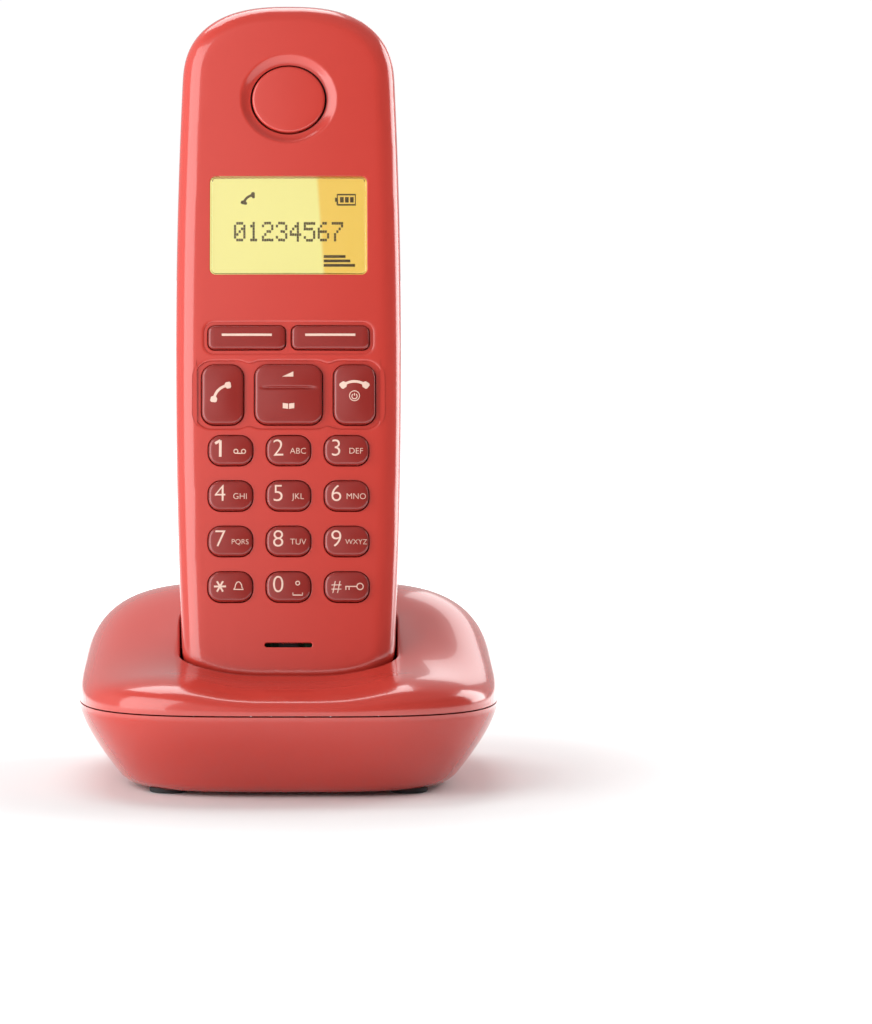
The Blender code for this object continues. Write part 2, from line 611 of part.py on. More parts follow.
def build_battery_door():
    """A piece of the case wall itself, hung on its lower edge. Its origin is on the line it tips about."""
    hinge = (0.0, HANDSET_DEPTH, DOOR_BOTTOM + GAP)
    bm = bmesh.new()
    rings = case_rings(FRONT_SHELL_DEPTH + GAP / 2, HANDSET_DEPTH, BACK_EDGE, 4)
    loft(bm, [[(x - hinge[0], y - hinge[1], z - hinge[2]) for x, y, z in ring] for ring in rings],
         close_first=False)
    door = add_part("battery_door", bm, "case_red", handset_frame, hinge)
    add_shell(door, HANDSET_WALL)

    blank = bmesh.new()
    face_prism(blank, door_outline(GAP), DOOR_INNER_Y + GAP / 6, HANDSET_DEPTH + HANDSET_WALL, DOOR_MIDDLE)
    add_boolean(door, "INTERSECT", add_guide("door_blank", blank, handset_frame))

    tabs = bmesh.new()
    for side in (-1, 1):
        left = side * DOOR_TAB_OFFSET - DOOR_TAB_WIDTH / 2
        right = left + DOOR_TAB_WIDTH
        outer = DOOR_INNER_Y - 2 * GAP
        inner = outer - DOOR_TAB_THICKNESS
        root = DOOR_BOTTOM + DOOR_LEDGE + 4 * GAP
        profile = ((inner, DOOR_BOTTOM - DOOR_TAB_REACH), (outer, DOOR_BOTTOM - DOOR_TAB_REACH),
                   (outer, root - 2 * GAP), (DOOR_INNER_Y + 0.3 * HANDSET_WALL, root - 2 * GAP),
                   (DOOR_INNER_Y + 0.3 * HANDSET_WALL, root + DOOR_TAB_THICKNESS),
                   (inner, root + DOOR_TAB_THICKNESS))
        loft(tabs, [[(x, y, z) for y, z in profile] for x in (left, right)])
    add_boolean(door, "UNION", add_guide("door_tabs", tabs, handset_frame))


def build_display():
    face_plate("display_window", "window_clear", DISPLAY_WIDTH, DISPLAY_HEIGHT, GAP / 2, WINDOW_THICKNESS,
               DISPLAY_Z, 0.0009)
    lcd_front = HANDSET_WALL + GAP
    face_plate("lcd_panel", "lcd_glass", DISPLAY_WIDTH + HANDSET_WALL, DISPLAY_HEIGHT + HANDSET_WALL, lcd_front,
               LCD_THICKNESS, DISPLAY_Z, 0.0004)
    face_plate("backlight_guide", "light_guide", DISPLAY_WIDTH + HANDSET_WALL, DISPLAY_HEIGHT + HANDSET_WALL,
               lcd_front + LCD_THICKNESS + GAP, LIGHT_GUIDE_THICKNESS, DISPLAY_Z, 0.0004)


def build_sound_parts():
    bm = bmesh.new()
    face_prism(bm, ellipse(EAR_DISC_WIDTH, EAR_DISC_HEIGHT), 0.0, KEY_FOOT - GAP / 2)
    disc = add_part("earpiece_disc", bm, "case_red", handset_frame, (0.0, GAP / 2, EAR_Z))
    add_bevel(disc, 0.0003)

    half = EAR_SPEAKER_DIAMETER / 2
    speaker = ((0.0, 0.0), (half * 0.55, 0.0), (half * 0.62, -0.0006), (half * 0.9, -0.0006), (half, 0.0),
               (half, -EAR_SPEAKER_DEPTH * 0.4), (half * 0.7, -EAR_SPEAKER_DEPTH * 0.45),
               (half * 0.7, -EAR_SPEAKER_DEPTH), (0.0, -EAR_SPEAKER_DEPTH))
    turned_part("earpiece_speaker", "speaker_black", speaker, handset_frame, (0.0, KEY_FOOT + GAP, EAR_Z),
                (pi / 2, 0.0, 0.0))
    half = RINGER_DIAMETER / 2
    ringer = ((0.0, 0.0), (half * 0.8, 0.0), (half, -0.0005), (half, -RINGER_DEPTH * 0.5),
              (half * 0.6, -RINGER_DEPTH * 0.55), (half * 0.6, -RINGER_DEPTH), (0.0, -RINGER_DEPTH))
    turned_part("ringer_speaker", "speaker_black", ringer, handset_frame, (0.0, DOOR_INNER_Y - GAP, RINGER_Z),
                (-pi / 2, 0.0, 0.0))
    half = MICROPHONE_DIAMETER / 2
    capsule = ((0.0, 0.0), (half, 0.0), (half, -MICROPHONE_DEPTH), (0.0, -MICROPHONE_DEPTH))
    turned_part("microphone", "speaker_black", capsule, handset_frame,
                (0.0, BOARD_Y - GAP - MICROPHONE_DEPTH, MIC_Z), (pi / 2, 0.0, 0.0), 14)


def build_keys():
    for name, x, z, width, height, corner, proud in keys:
        bm = bmesh.new()
        face_prism(bm, rounded_rectangle(width, height, corner), -proud, KEY_FOOT)
        key = add_part(name, bm, "key_red", handset_frame, (x, 0.0, z))
        add_bevel(key, KEY_BEVEL)


def build_keypad_layers():
    top = SOFTKEY_Z + SOFTKEY_HEIGHT / 2 + 2 * GAP
    bottom = KEYPAD_Z - (KEY_ROWS - 0.5) * KEY_PITCH
    width = HANDSET_WIDTH - 2 * (HANDSET_WALL + BOARD_MARGIN)
    mat_y = KEY_FOOT + KEY_TRAVEL + GAP
    face_plate("keypad_mat", "silicone_grey", width, top - bottom, mat_y, MAT_THICKNESS,
               (top + bottom) / 2, 0.002)
    face_plate("dome_sheet", "polyester_film", width, top - bottom, mat_y + MAT_THICKNESS + GAP,
               DOME_SHEET_THICKNESS, (top + bottom) / 2, 0.001)


def build_handset_board():
    top = EAR_Z - EAR_SPEAKER_DIAMETER / 2 - 3 * GAP
    middle = (top + BOARD_ABOVE_END) / 2
    board = face_plate("handset_board", "board_green", HANDSET_WIDTH - 2 * (HANDSET_WALL + BOARD_MARGIN),
                       top - BOARD_ABOVE_END, BOARD_Y, BOARD_THICKNESS, middle, 0.002)
    holes = bmesh.new()
    for side in (-1, 1):
        cylinder(holes, SCREW_RADIUS + BOSS_WALL + 2 * GAP, BOARD_Y - BOARD_THICKNESS,
                 BOARD_Y + 2 * BOARD_THICKNESS, (side * HANDSET_SCREW_OFFSET, SCREW_Z), segments=16)
    add_boolean(board, "DIFFERENCE", add_guide("board_holes", holes, handset_frame))

    reach = HANDSET_WIDTH / 2 - HANDSET_WALL - 2 * BOARD_MARGIN
    rise = HANDSET_LENGTH - TOP_CURVE * 0.75
    y = BOARD_Y + BOARD_THICKNESS + GAP + ANTENNA_WIRE / 2
    route = [(-reach, y, top - ANTENNA_LEG), (-reach, y, rise - ANTENNA_BEND), (-reach + ANTENNA_BEND, y, rise),
             (reach, y, rise)]
    wire_part("handset_antenna", "spring_steel", route, ANTENNA_WIRE, handset_frame)


CELL_OFFSET = CELL_DIAMETER / 2 + GAP
CELL_LOW = BAY_BOTTOM + TERMINAL_THICKNESS + 2 * GAP        # cell whose button faces down
CELL_HIGH = BAY_TOP - TERMINAL_THICKNESS - 2 * GAP          # top of the cell whose button faces up


def build_cells():
    half = CELL_DIAMETER / 2
    nub = CELL_NUB_DIAMETER / 2
    profile = ((0.0, 0.0), (nub, 0.0), (nub, -CELL_NUB_HEIGHT), (half - 0.0006, -CELL_NUB_HEIGHT),
               (half, -CELL_NUB_HEIGHT - 0.0006), (half, -CELL_LENGTH + 0.0006), (half - 0.0006, -CELL_LENGTH),
               (0.0, -CELL_LENGTH))
    turned_part("battery_left", "cell_sleeve", profile, handset_frame, (-CELL_OFFSET, CELL_Y, CELL_HIGH),
                (0.0, 0.0, 0.0), 20)
    turned_part("battery_right", "cell_sleeve", profile, handset_frame, (CELL_OFFSET, CELL_Y, CELL_LOW),
                (pi, 0.0, 0.0), 20)


def spring_route(x, start, end):
    """A conical spring from its wide end at start to its narrow end."""
    turns = 3
    steps = 10 * turns
    points = []
    for i in range(steps + 1):
        share = i / steps
        radius = SPRING_WIDE_RADIUS - (SPRING_WIDE_RADIUS - SPRING_NARROW_RADIUS) * share
        angle = 2 * pi * turns * share
        points.append((x + radius * cos(angle), CELL_Y + radius * sin(angle), start + (end - start) * share))
    return points


def build_battery_contacts():
    def terminal(name, low_x, high_x, z):
        bm = bmesh.new()
        width = high_x - low_x
        centre = ((low_x + high_x) / 2, CELL_Y)
        upright_prism(bm, rounded_rectangle(width, TERMINAL_HEIGHT, 0.0008, 2), 0.0, TERMINAL_THICKNESS)
        add_part(name, bm, "spring_steel", handset_frame, (*centre, z))

    reach = CELL_OFFSET + SPRING_WIDE_RADIUS + SPRING_WIRE
    low_z = BAY_BOTTOM + GAP
    high_z = BAY_TOP - GAP - TERMINAL_THICKNESS
    terminal("battery_link_contact", -reach, reach, low_z)
    terminal("battery_terminal_positive", -reach, -CELL_OFFSET + CELL_NUB_DIAMETER, high_z)
    terminal("battery_terminal_negative", CELL_OFFSET - CELL_NUB_DIAMETER, reach, high_z)
    clear = GAP + SPRING_WIRE / 2
    low_end = low_z + TERMINAL_THICKNESS + clear
    wire_part("battery_spring_left", "spring_steel",
              spring_route(-CELL_OFFSET, low_end, CELL_HIGH - CELL_LENGTH - clear), SPRING_WIRE, handset_frame)
    wire_part("battery_spring_right", "spring_steel",
              spring_route(CELL_OFFSET, high_z - clear, CELL_LOW + CELL_LENGTH + clear), SPRING_WIRE,
              handset_frame)


def screw_profile(length):
    tip = SCREW_RADIUS * 0.5
    return ((0.0, 0.0), (SCREW_HEAD_RADIUS * 0.7, 0.0), (SCREW_HEAD_RADIUS, -SCREW_HEAD_HEIGHT * 0.5),
            (SCREW_HEAD_RADIUS, -SCREW_HEAD_HEIGHT), (SCREW_RADIUS, -SCREW_HEAD_HEIGHT),
            (SCREW_RADIUS, -length + tip), (0.0, -length))


def build_handset_screws():
    head_y = BAY_FLOOR_Y + GAP + SCREW_HEAD_HEIGHT
    for name, side in (("handset_screw_left", -1), ("handset_screw_right", 1)):
        turned_part(name, "spring_steel", screw_profile(HANDSET_SCREW_LENGTH), handset_frame,
                    (side * HANDSET_SCREW_OFFSET, head_y, SCREW_Z), (-pi / 2, 0.0, 0.0), 12)


def build_charge_strips():
    for name, side in (("charge_strip_left", -1), ("charge_strip_right", 1)):
        bm = bmesh.new()
        upright_prism(bm, rounded_rectangle(CHARGE_STRIP_WIDTH, CHARGE_STRIP_DEPTH, 0.0005, 2), 0.0,
                      CHARGE_STRIP_THICKNESS)
        add_part(name, bm, "gold_plate", handset_frame, (side * CHARGE_OFFSET, CHARGE_Y, CHARGE_STRIP_INSET))


# Base

def smooth_step(value):
    t = min(1.0, max(0.0, value))
    return t * t * (3 - 2 * t)


def base_plan(scale, angle):
    """A point on the soft square of the base seen from above, shrunk by scale."""
    power = 2 / PLAN_POWER
    c, s = cos(angle), sin(angle)
    x = HALF_WIDTH * scale * abs(c) ** power * (1 if c >= 0 else -1)
    y = HALF_DEPTH * scale * abs(s) ** power * (1 if s >= 0 else -1)
    return x, y


def crown_height(x, y, scale):
    """Height of the top cover: low over the nose, climbing to the back, falling off at the rim."""
    climb = smooth_step((y + HALF_DEPTH - NOSE_FLAT) / (BASE_DEPTH - NOSE_FLAT - BACK_FLAT))
    scoop = LIP_SCOOP * (1 - climb) * (1 - exp(-(x / SCOOP_WIDTH) ** SCOOP_POWER))
    full = FRONT_TOP + (BACK_TOP - FRONT_TOP) * climb + scoop
    fall = max(0.0, 1 - scale ** CROWN_POWER) ** CROWN_ROOT
    return PARTING_HEIGHT + RIM_BAND + (full - PARTING_HEIGHT - RIM_BAND) * fall


PLAN_STEPS = 40
CROWN_SCALES = (1.0, 0.985, 0.94, 0.87, 0.76, 0.60, 0.40, 0.18)


def plan_angles():
    return [2 * pi * (i + 0.5) / PLAN_STEPS for i in range(PLAN_STEPS)]


def crown_rings(inset):
    """Rings of the top cover's outside, drawn in and down by inset."""
    shrink = 1 - inset / HALF_WIDTH
    rings = []
    for scale in CROWN_SCALES:
        ring = []
        for angle in plan_angles():
            x, y = base_plan(scale * shrink, angle)
            ring.append((x, y, crown_height(x, y, scale) - inset))
        rings.append(ring)
    return rings


def pocket_outline(grow):
    """The handset's cross-section with room round it, in the handset's (x, y)."""
    half = handset_half_width(CRADLE_RISE, 0.0) + grow
    front, back = -grow, HANDSET_DEPTH + grow
    front_radius, back_radius = FRONT_EDGE + grow, BACK_EDGE + grow
    points = []
    corners = ((half, back, back_radius, 0), (-half, back, back_radius, 1),
               (-half, front, front_radius, 2), (half, front, front_radius, 3))
    for x, y, radius, quarter in corners:
        middle_x = x - radius if x > 0 else x + radius
        middle_y = y - radius if quarter < 2 else y + radius
        for step in range(5):
            angle = (quarter + step / 4) * pi / 2
            points.append((middle_x + radius * cos(angle), middle_y + radius * sin(angle)))
    return points


def build_top_cover():
    bm = bmesh.new()
    rings = crown_rings(0.0)
    loft(bm, [[(x, y, PARTING_HEIGHT + GAP / 2) for x, y, _ in rings[0]]] + rings, close_first=False)
    cover = add_part("base_top_cover", bm, "case_red")
    add_shell(cover, BASE_WALL)

    core = bmesh.new()
    inner = crown_rings(BASE_WALL / 2)
    loft(core, [[(x, y, BASE_BOARD_TOP) for x, y, _ in inner[0]]] + inner)
    core = add_guide("crown_core", core)

    lift = BACK_TOP + HANDSET_DEPTH
    tub = bmesh.new()
    upright_prism(tub, pocket_outline(CRADLE_GAP + CRADLE_WALL), -CRADLE_GAP - CRADLE_WALL, lift)
    tub = add_guide("cradle_tub", tub, handset_frame)
    add_boolean(tub, "INTERSECT", core)
    add_boolean(cover, "UNION", tub)

    bosses = bmesh.new()
    for side in (-1, 1):
        cylinder(bosses, SCREW_RADIUS + GAP + 2 * BOSS_WALL, BASE_BOARD_Z, BACK_TOP,
                 (side * BASE_SCREW_OFFSET, BASE_SCREW_Y), "Z", 16)
    bosses = add_guide("cover_bosses", bosses)
    trim = bmesh.new()
    loft(trim, [[(x, y, 0.0) for x, y, _ in inner[0]]] + inner)
    add_boolean(bosses, "INTERSECT", add_guide("boss_trim", trim))
    add_boolean(cover, "UNION", bosses)

    pocket = bmesh.new()
    upright_prism(pocket, pocket_outline(CRADLE_GAP), -CRADLE_GAP, lift)
    add_boolean(cover, "DIFFERENCE", add_guide("cradle_pocket", pocket, handset_frame))

    slots = bmesh.new()
    for side in (-1, 1):
        outline = rounded_rectangle(CHARGE_PIN_WIDTH + 3 * GAP, CHARGE_PIN_THICKNESS + 3 * GAP, 0.0004, 1)
        upright_prism(slots, outline, -2 * CRADLE_WALL, CRADLE_WALL, (side * CHARGE_OFFSET, CHARGE_Y))
    add_boolean(cover, "DIFFERENCE", add_guide("contact_slots", slots, handset_frame))

    bores = bmesh.new()
    for side in (-1, 1):
        cylinder(bores, SCREW_RADIUS + GAP, 0.0, FOOT_PROUD + BASE_SCREW_LENGTH + BASE_WALL,
                 (side * BASE_SCREW_OFFSET, BASE_SCREW_Y), "Z", 12)
    add_boolean(cover, "DIFFERENCE", add_guide("screw_bores", bores))


def bottom_rings():
    """Rings of the lower shell's outside, from the joint line down to the flat underside."""
    top = PARTING_HEIGHT - GAP / 2
    levels = [(top, 1.0)]
    tall = top - RIM_BAND - FOOT_PROUD
    for share in (0.0, 0.2, 0.4, 0.6, 0.8):
        levels.append((top - RIM_BAND - share * tall, 1.0 - BOTTOM_TAPER * share ** TAPER_POWER))
    for turn in (0.0, 0.45, 1.0):
        angle = turn * pi / 2
        drop = BOTTOM_FILLET * (1 - sin(angle))
        levels.append((FOOT_PROUD + drop * 0.6, BOTTOM_SCALE + 0.01 - BOTTOM_FILLET * (1 - cos(angle)) / HALF_WIDTH))
    return [[(*base_plan(scale, angle), z) for angle in plan_angles()] for z, scale in levels]


def foot_places():
    x = HALF_WIDTH * BOTTOM_SCALE - FOOT_INSET
    y = HALF_DEPTH * BOTTOM_SCALE - FOOT_INSET
    return (("foot_front_left", -x, -y), ("foot_front_right", x, -y),
            ("foot_back_left", -x, y), ("foot_back_right", x, y))


SOCKETS = (("line_socket", -SOCKET_OFFSET, LINE_SOCKET_WIDTH), ("power_socket", SOCKET_OFFSET, POWER_SOCKET_WIDTH))


def build_bottom_shell():
    bm = bmesh.new()
    loft(bm, bottom_rings(), close_first=False)
    shell = add_part("base_bottom_shell", bm, "case_red")
    add_shell(shell, BASE_WALL)

    holes = bmesh.new()
    for _, x, width in SOCKETS:
        box(holes, (x - width / 2 - GAP, SOCKET_FACE_Y - SOCKET_DEPTH, SOCKET_Z - SOCKET_HEIGHT / 2 - GAP * 0.9),
            (x + width / 2 + GAP, HALF_DEPTH + GAP, SOCKET_Z + SOCKET_HEIGHT / 2 + GAP))
    outline = rounded_rectangle(PAGE_KEY_WIDTH + 2 * GAP, PAGE_KEY_HEIGHT + 2 * GAP,
                                PAGE_KEY_HEIGHT / 2 + GAP * 0.9, 4)
    face_prism(holes, outline, SOCKET_FACE_Y - SOCKET_DEPTH, HALF_DEPTH + GAP, (0.0, SOCKET_Z))
    for _, x, y in foot_places():
        cylinder(holes, FOOT_DIAMETER / 2 + GAP, 0.0, FOOT_PROUD + FOOT_RECESS, (x, y), "Z", 24)
    for side in (-1, 1):
        place = (side * BASE_SCREW_OFFSET, BASE_SCREW_Y)
        seat = FOOT_PROUD + SCREW_HEAD_HEIGHT + GAP
        radii = ((SCREW_HEAD_RADIUS + GAP, 0.0), (SCREW_HEAD_RADIUS + GAP, seat),
                 (SCREW_RADIUS + GAP, seat), (SCREW_RADIUS + GAP, BASE_FLOOR_Z + BASE_WALL))
        loft(holes, [[(place[0] + radius * cos(2 * pi * i / 16), place[1] + radius * sin(2 * pi * i / 16), z)
                      for i in range(16)] for radius, z in radii])
    add_boolean(shell, "DIFFERENCE", add_guide("bottom_holes", holes))


def build_feet():
    half = FOOT_DIAMETER / 2
    thick = FOOT_PROUD + FOOT_RECESS - GAP
    profile = ((0.0, thick), (half, thick), (half, 0.0002), (half - 0.0002, 0.0), (0.0, 0.0))
    for name, x, y in foot_places():
        turned_part(name, "rubber_black", profile, None, (x, y, 0.0), (0.0, 0.0, 0.0), 20)


def build_base_screws():
    for name, side in (("base_screw_left", -1), ("base_screw_right", 1)):
        turned_part(name, "spring_steel", screw_profile(BASE_SCREW_LENGTH), None,
                    (side * BASE_SCREW_OFFSET, BASE_SCREW_Y, FOOT_PROUD), (pi, 0.0, 0.0), 12)


def build_base_board():
    half = HALF_WIDTH - BASE_BOARD_MARGIN
    front = -HALF_DEPTH + BASE_BOARD_MARGIN
    back = SOCKET_FACE_Y - SOCKET_DEPTH * 0.75
    bm = bmesh.new()
    outline = rounded_rectangle(2 * half, back - front, 0.006, 3, (0.0, (front + back) / 2))
    upright_prism(bm, outline, BASE_BOARD_Z, BASE_BOARD_TOP)
    board = add_part("base_board", bm, "board_green")
    holes = bmesh.new()
    for side in (-1, 1):
        cylinder(holes, SCREW_RADIUS + 2 * BOSS_WALL + 2 * GAP, 0.0, PARTING_HEIGHT,
                 (side * BASE_SCREW_OFFSET, BASE_SCREW_Y), "Z", 16)
    add_boolean(board, "DIFFERENCE", add_guide("base_board_holes", holes))

    reach = half - BASE_ANTENNA_INSET
    stand = BASE_BOARD_TOP + GAP
    height = stand + BASE_ANTENNA_RISE
    ahead = CRADLE_Y - BASE_ANTENNA_AHEAD
    start = front + ANTENNA_BEND
    route = [(-reach, start, stand), (-reach, start, height), (-reach + 0.001, ahead, height),
             (reach, ahead, height)]
    wire_part("base_antenna", "spring_steel", route, ANTENNA_WIRE)


def build_sockets():
    for name, x, width in SOCKETS:
        bm = bmesh.new()
        box(bm, (-width / 2, -SOCKET_DEPTH, -SOCKET_HEIGHT / 2), (width / 2, 0.0, SOCKET_HEIGHT / 2))
        socket = add_part(name, bm, "socket_black", None, (x, SOCKET_FACE_Y, SOCKET_Z), smooth=False)
        cavity = bmesh.new()
        half = width / 2 - SOCKET_WALL
        low, high = SOCKET_WALL - SOCKET_HEIGHT / 2, SOCKET_HEIGHT / 2 - SOCKET_WALL
        notch = 0.0018
        profile = ((-half, low + notch), (-half / 2, low + notch), (-half / 2, low), (half / 2, low),
                   (half / 2, low + notch), (half, low + notch), (half, high), (-half, high))
        loft(cavity, [[(u, y, v) for u, v in profile] for y in (SOCKET_WALL - SOCKET_DEPTH, SOCKET_WALL)])
        cavity = add_guide(name + "_cavity", cavity, None, (x, SOCKET_FACE_Y, SOCKET_Z))
        add_boolean(socket, "DIFFERENCE", cavity)


def build_page_parts():
    face = SOCKET_FACE_Y + SOCKET_SETBACK * 0.5 + PAGE_KEY_PROUD
    length = PAGE_KEY_LENGTH
    bm = bmesh.new()
    outline = rounded_rectangle(PAGE_KEY_WIDTH, PAGE_KEY_HEIGHT, PAGE_KEY_HEIGHT * 0.45, 4)
    face_prism(bm, outline, -length, 0.0)
    key = add_part("page_key", bm, "key_red", None, (0.0, face, SOCKET_Z))
    add_bevel(key, KEY_BEVEL)

    back = face - length - PAGE_KEY_TRAVEL - GAP
    half = PAGE_SWITCH_SIZE / 2
    bm = bmesh.new()
    upright_prism(bm, rounded_rectangle(PAGE_SWITCH_SIZE, PAGE_SWITCH_SIZE, 0.0006, 1), 0.0, PAGE_SWITCH_SIZE)
    add_part("page_switch", bm, "socket_black", None, (0.0, back - half, BASE_BOARD_TOP + GAP))


def build_charge_contacts():
    top = CHARGE_STRIP_INSET - GAP
    for name, side in (("charge_contact_left", -1), ("charge_contact_right", 1)):
        bm = bmesh.new()
        face_prism(bm, rounded_rectangle(CHARGE_PIN_WIDTH, CHARGE_PIN_LENGTH, 0.0006, 2,
                                         (0.0, -CHARGE_PIN_LENGTH / 2)),
                   -CHARGE_PIN_THICKNESS / 2, CHARGE_PIN_THICKNESS / 2)
        add_part(name, bm, "gold_plate", handset_frame, (side * CHARGE_OFFSET, CHARGE_Y, top))


build_front_shell()
build_rear_shell()
build_battery_door()
build_display()
build_sound_parts()
build_keys()
build_keypad_layers()
build_handset_board()
build_cells()
build_battery_contacts()
build_handset_screws()
build_charge_strips()
build_top_cover()
build_bottom_shell()
build_feet()
build_base_screws()
build_base_board()
build_sockets()
build_page_parts()
build_charge_contacts()
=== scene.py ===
import json
from math import atan2, cos, exp, pi, radians, sin, sqrt

import bmesh
import bpy
from mathutils import Matrix, Vector


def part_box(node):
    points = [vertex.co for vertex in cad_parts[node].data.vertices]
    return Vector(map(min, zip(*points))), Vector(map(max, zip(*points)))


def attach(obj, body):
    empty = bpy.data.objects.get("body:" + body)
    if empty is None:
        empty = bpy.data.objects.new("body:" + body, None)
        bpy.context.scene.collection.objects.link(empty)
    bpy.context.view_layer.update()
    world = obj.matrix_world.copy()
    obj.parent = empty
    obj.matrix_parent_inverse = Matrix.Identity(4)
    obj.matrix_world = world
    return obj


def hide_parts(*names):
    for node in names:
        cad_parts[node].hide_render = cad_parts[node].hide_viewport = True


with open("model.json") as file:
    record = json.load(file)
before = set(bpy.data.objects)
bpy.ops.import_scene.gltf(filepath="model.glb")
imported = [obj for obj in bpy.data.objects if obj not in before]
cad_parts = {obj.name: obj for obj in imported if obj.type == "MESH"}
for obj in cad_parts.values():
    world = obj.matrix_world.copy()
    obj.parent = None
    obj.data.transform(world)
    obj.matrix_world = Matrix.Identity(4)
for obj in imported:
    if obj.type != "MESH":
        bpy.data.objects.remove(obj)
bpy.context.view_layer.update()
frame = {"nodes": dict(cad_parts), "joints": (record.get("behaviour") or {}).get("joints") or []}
joints = {joint["name"]: joint for joint in frame["joints"]}
print("frame loaded:", len(frame["nodes"]), "nodes")


class Wire:
    # a socket that does sums: every operator adds its Math node to the tree

    def __init__(self, net, socket):
        self.net = net
        self.socket = socket

    def out(self, name):
        return Wire(self.net, self.socket.node.outputs[name])

    def __add__(self, other):
        return self.net.maths("ADD", self, other)

    def __radd__(self, other):
        return self.net.maths("ADD", other, self)

    def __sub__(self, other):
        return self.net.maths("SUBTRACT", self, other)

    def __rsub__(self, other):
        return self.net.maths("SUBTRACT", other, self)

    def __mul__(self, other):
        return self.net.maths("MULTIPLY", self, other)

    def __rmul__(self, other):
        return self.net.maths("MULTIPLY", other, self)

    def __truediv__(self, other):
        return self.net.maths("DIVIDE", self, other)

    def __rtruediv__(self, other):
        return self.net.maths("DIVIDE", other, self)

    def __pow__(self, other):
        return self.net.maths("POWER", self, other)


class Net:
    # a node tree that is written as calls: node type, settings, then sockets

    def __init__(self, tree):
        self.tree = tree

    def add(self, kind, settings=None, sockets=None, out=0):
        node = self.tree.nodes.new(kind)
        for name, value in (settings or {}).items():
            setattr(node, name, value)
        for name, value in (sockets or {}).items():
            if isinstance(value, Wire):
                self.tree.links.new(value.socket, node.inputs[name])
            else:
                node.inputs[name].default_value = value
        return Wire(self, node.outputs[out]) if node.outputs else node

    def maths(self, operation, *values):
        kind = "ShaderNodeMath"
        return self.add(kind, {"operation": operation}, dict(enumerate(values)))

    def mix(self, factor, first, second):
        settings = {"data_type": "RGBA"}
        return self.add("ShaderNodeMix", settings, {0: factor, 6: first, 7: second}, 2)

    def noise(self, where, scale, detail=2.0, roughness=0.5):
        sockets = {"Vector": where, "Scale": scale, "Detail": detail, "Roughness": roughness}
        return self.add("ShaderNodeTexNoise", {}, sockets)

    def between(self, value, low, high):
        # 0 below low, 1 above high, smooth in between
        settings = {"interpolation_type": "SMOOTHSTEP"}
        return self.add("ShaderNodeMapRange", settings, {"Value": value, "From Min": low, "From Max": high})


def geometryTree(name, inputs):
    tree = bpy.data.node_groups.new(name, "GeometryNodeTree")
    tree.interface.new_socket("Geometry", in_out="OUTPUT", socket_type="NodeSocketGeometry")
    for label, kind in inputs.items():
        tree.interface.new_socket(label, in_out="INPUT", socket_type="NodeSocket" + kind)
    net = Net(tree)
    source = tree.nodes.new("NodeGroupInput")
    return net, {label: Wire(net, source.outputs[label]) for label in inputs}


def closeTree(net, geometry, material):
    real = net.add("GeometryNodeRealizeInstances", {}, {0: geometry})
    painted = net.add("GeometryNodeSetMaterial", {}, {"Geometry": real, "Material": material})
    net.add("NodeGroupOutput", {}, {"Geometry": painted})


def joinAll(net, *parts):
    node = net.tree.nodes.new("GeometryNodeJoinGeometry")
    for part in parts:
        net.tree.links.new(part.socket, node.inputs[0])
    return Wire(net, node.outputs[0])


def vectorOf(net, x=0.0, y=0.0, z=0.0):
    return net.add("ShaderNodeCombineXYZ", {}, {0: x, 1: y, 2: z})


def growTree(tree, name, values, seed=None):
    # runs a geometry tree once and keeps the plain mesh that comes out
    piece = linked(name, seed or bpy.data.meshes.new(name + "Seed"))
    modifier = piece.modifiers.new("grow", "NODES")
    modifier.node_group = tree
    for item in tree.interface.items_tree:
        if item.in_out == "INPUT" and item.name in values:
            modifier[item.identifier] = values[item.name]
    return bakeModifiers(piece)


def linked(name, mesh):
    piece = bpy.data.objects.new(name, mesh)
    bpy.context.scene.collection.objects.link(piece)
    return piece


def bakeModifiers(piece):
    graph = bpy.context.evaluated_depsgraph_get()
    made = bpy.data.meshes.new_from_object(piece.evaluated_get(graph))
    piece.modifiers.clear()
    piece.data = made
    return piece


def fromBmesh(name, bm):
    bmesh.ops.remove_doubles(bm, verts=bm.verts, dist=1e-7)
    bmesh.ops.recalc_face_normals(bm, faces=bm.faces)
    mesh = bpy.data.meshes.new(name)
    bm.to_mesh(mesh)
    bm.free()
    return linked(name, mesh)


def cut(piece, operation, *tools):
    # boolean with each tool in turn, the tools removed afterwards
    for tool in tools:
        modifier = piece.modifiers.new("cut", "BOOLEAN")
        modifier.operation = operation
        modifier.solver = "EXACT"
        modifier.object = tool
    bakeModifiers(piece)
    for tool in tools:
        bpy.data.objects.remove(tool)
    return piece


def thicken(piece, wall, even=True):
    modifier = piece.modifiers.new("wall", "SOLIDIFY")
    modifier.thickness = wall
    modifier.offset = -1.0
    modifier.use_even_offset = even
    return bakeModifiers(piece)


def loft(bm, rings, closeFirst=False, closeLast=False):
    # skins rings of equally many points and gives back the rows of vertices
    rows = [[bm.verts.new(point) for point in ring] for ring in rings]
    count = len(rows[0])
    for lower, upper in zip(rows, rows[1:]):
        for i in range(count):
            j = (i + 1) % count
            bm.faces.new((lower[i], lower[j], upper[j], upper[i]))
    if closeFirst:
        bm.faces.new(rows[0])
    if closeLast:
        bm.faces.new(rows[-1])
    return rows


def fillBetween(bm, *loops):
    # fills a flat face that has loops of vertices as its edge and its holes
    edges = []
    for loop in loops:
        for a, b in zip(loop, loop[1:] + loop[:1]):
            edges.append(bm.edges.get((a, b)) or bm.edges.new((a, b)))
    bmesh.ops.triangle_fill(bm, use_beauty=True, edges=edges)


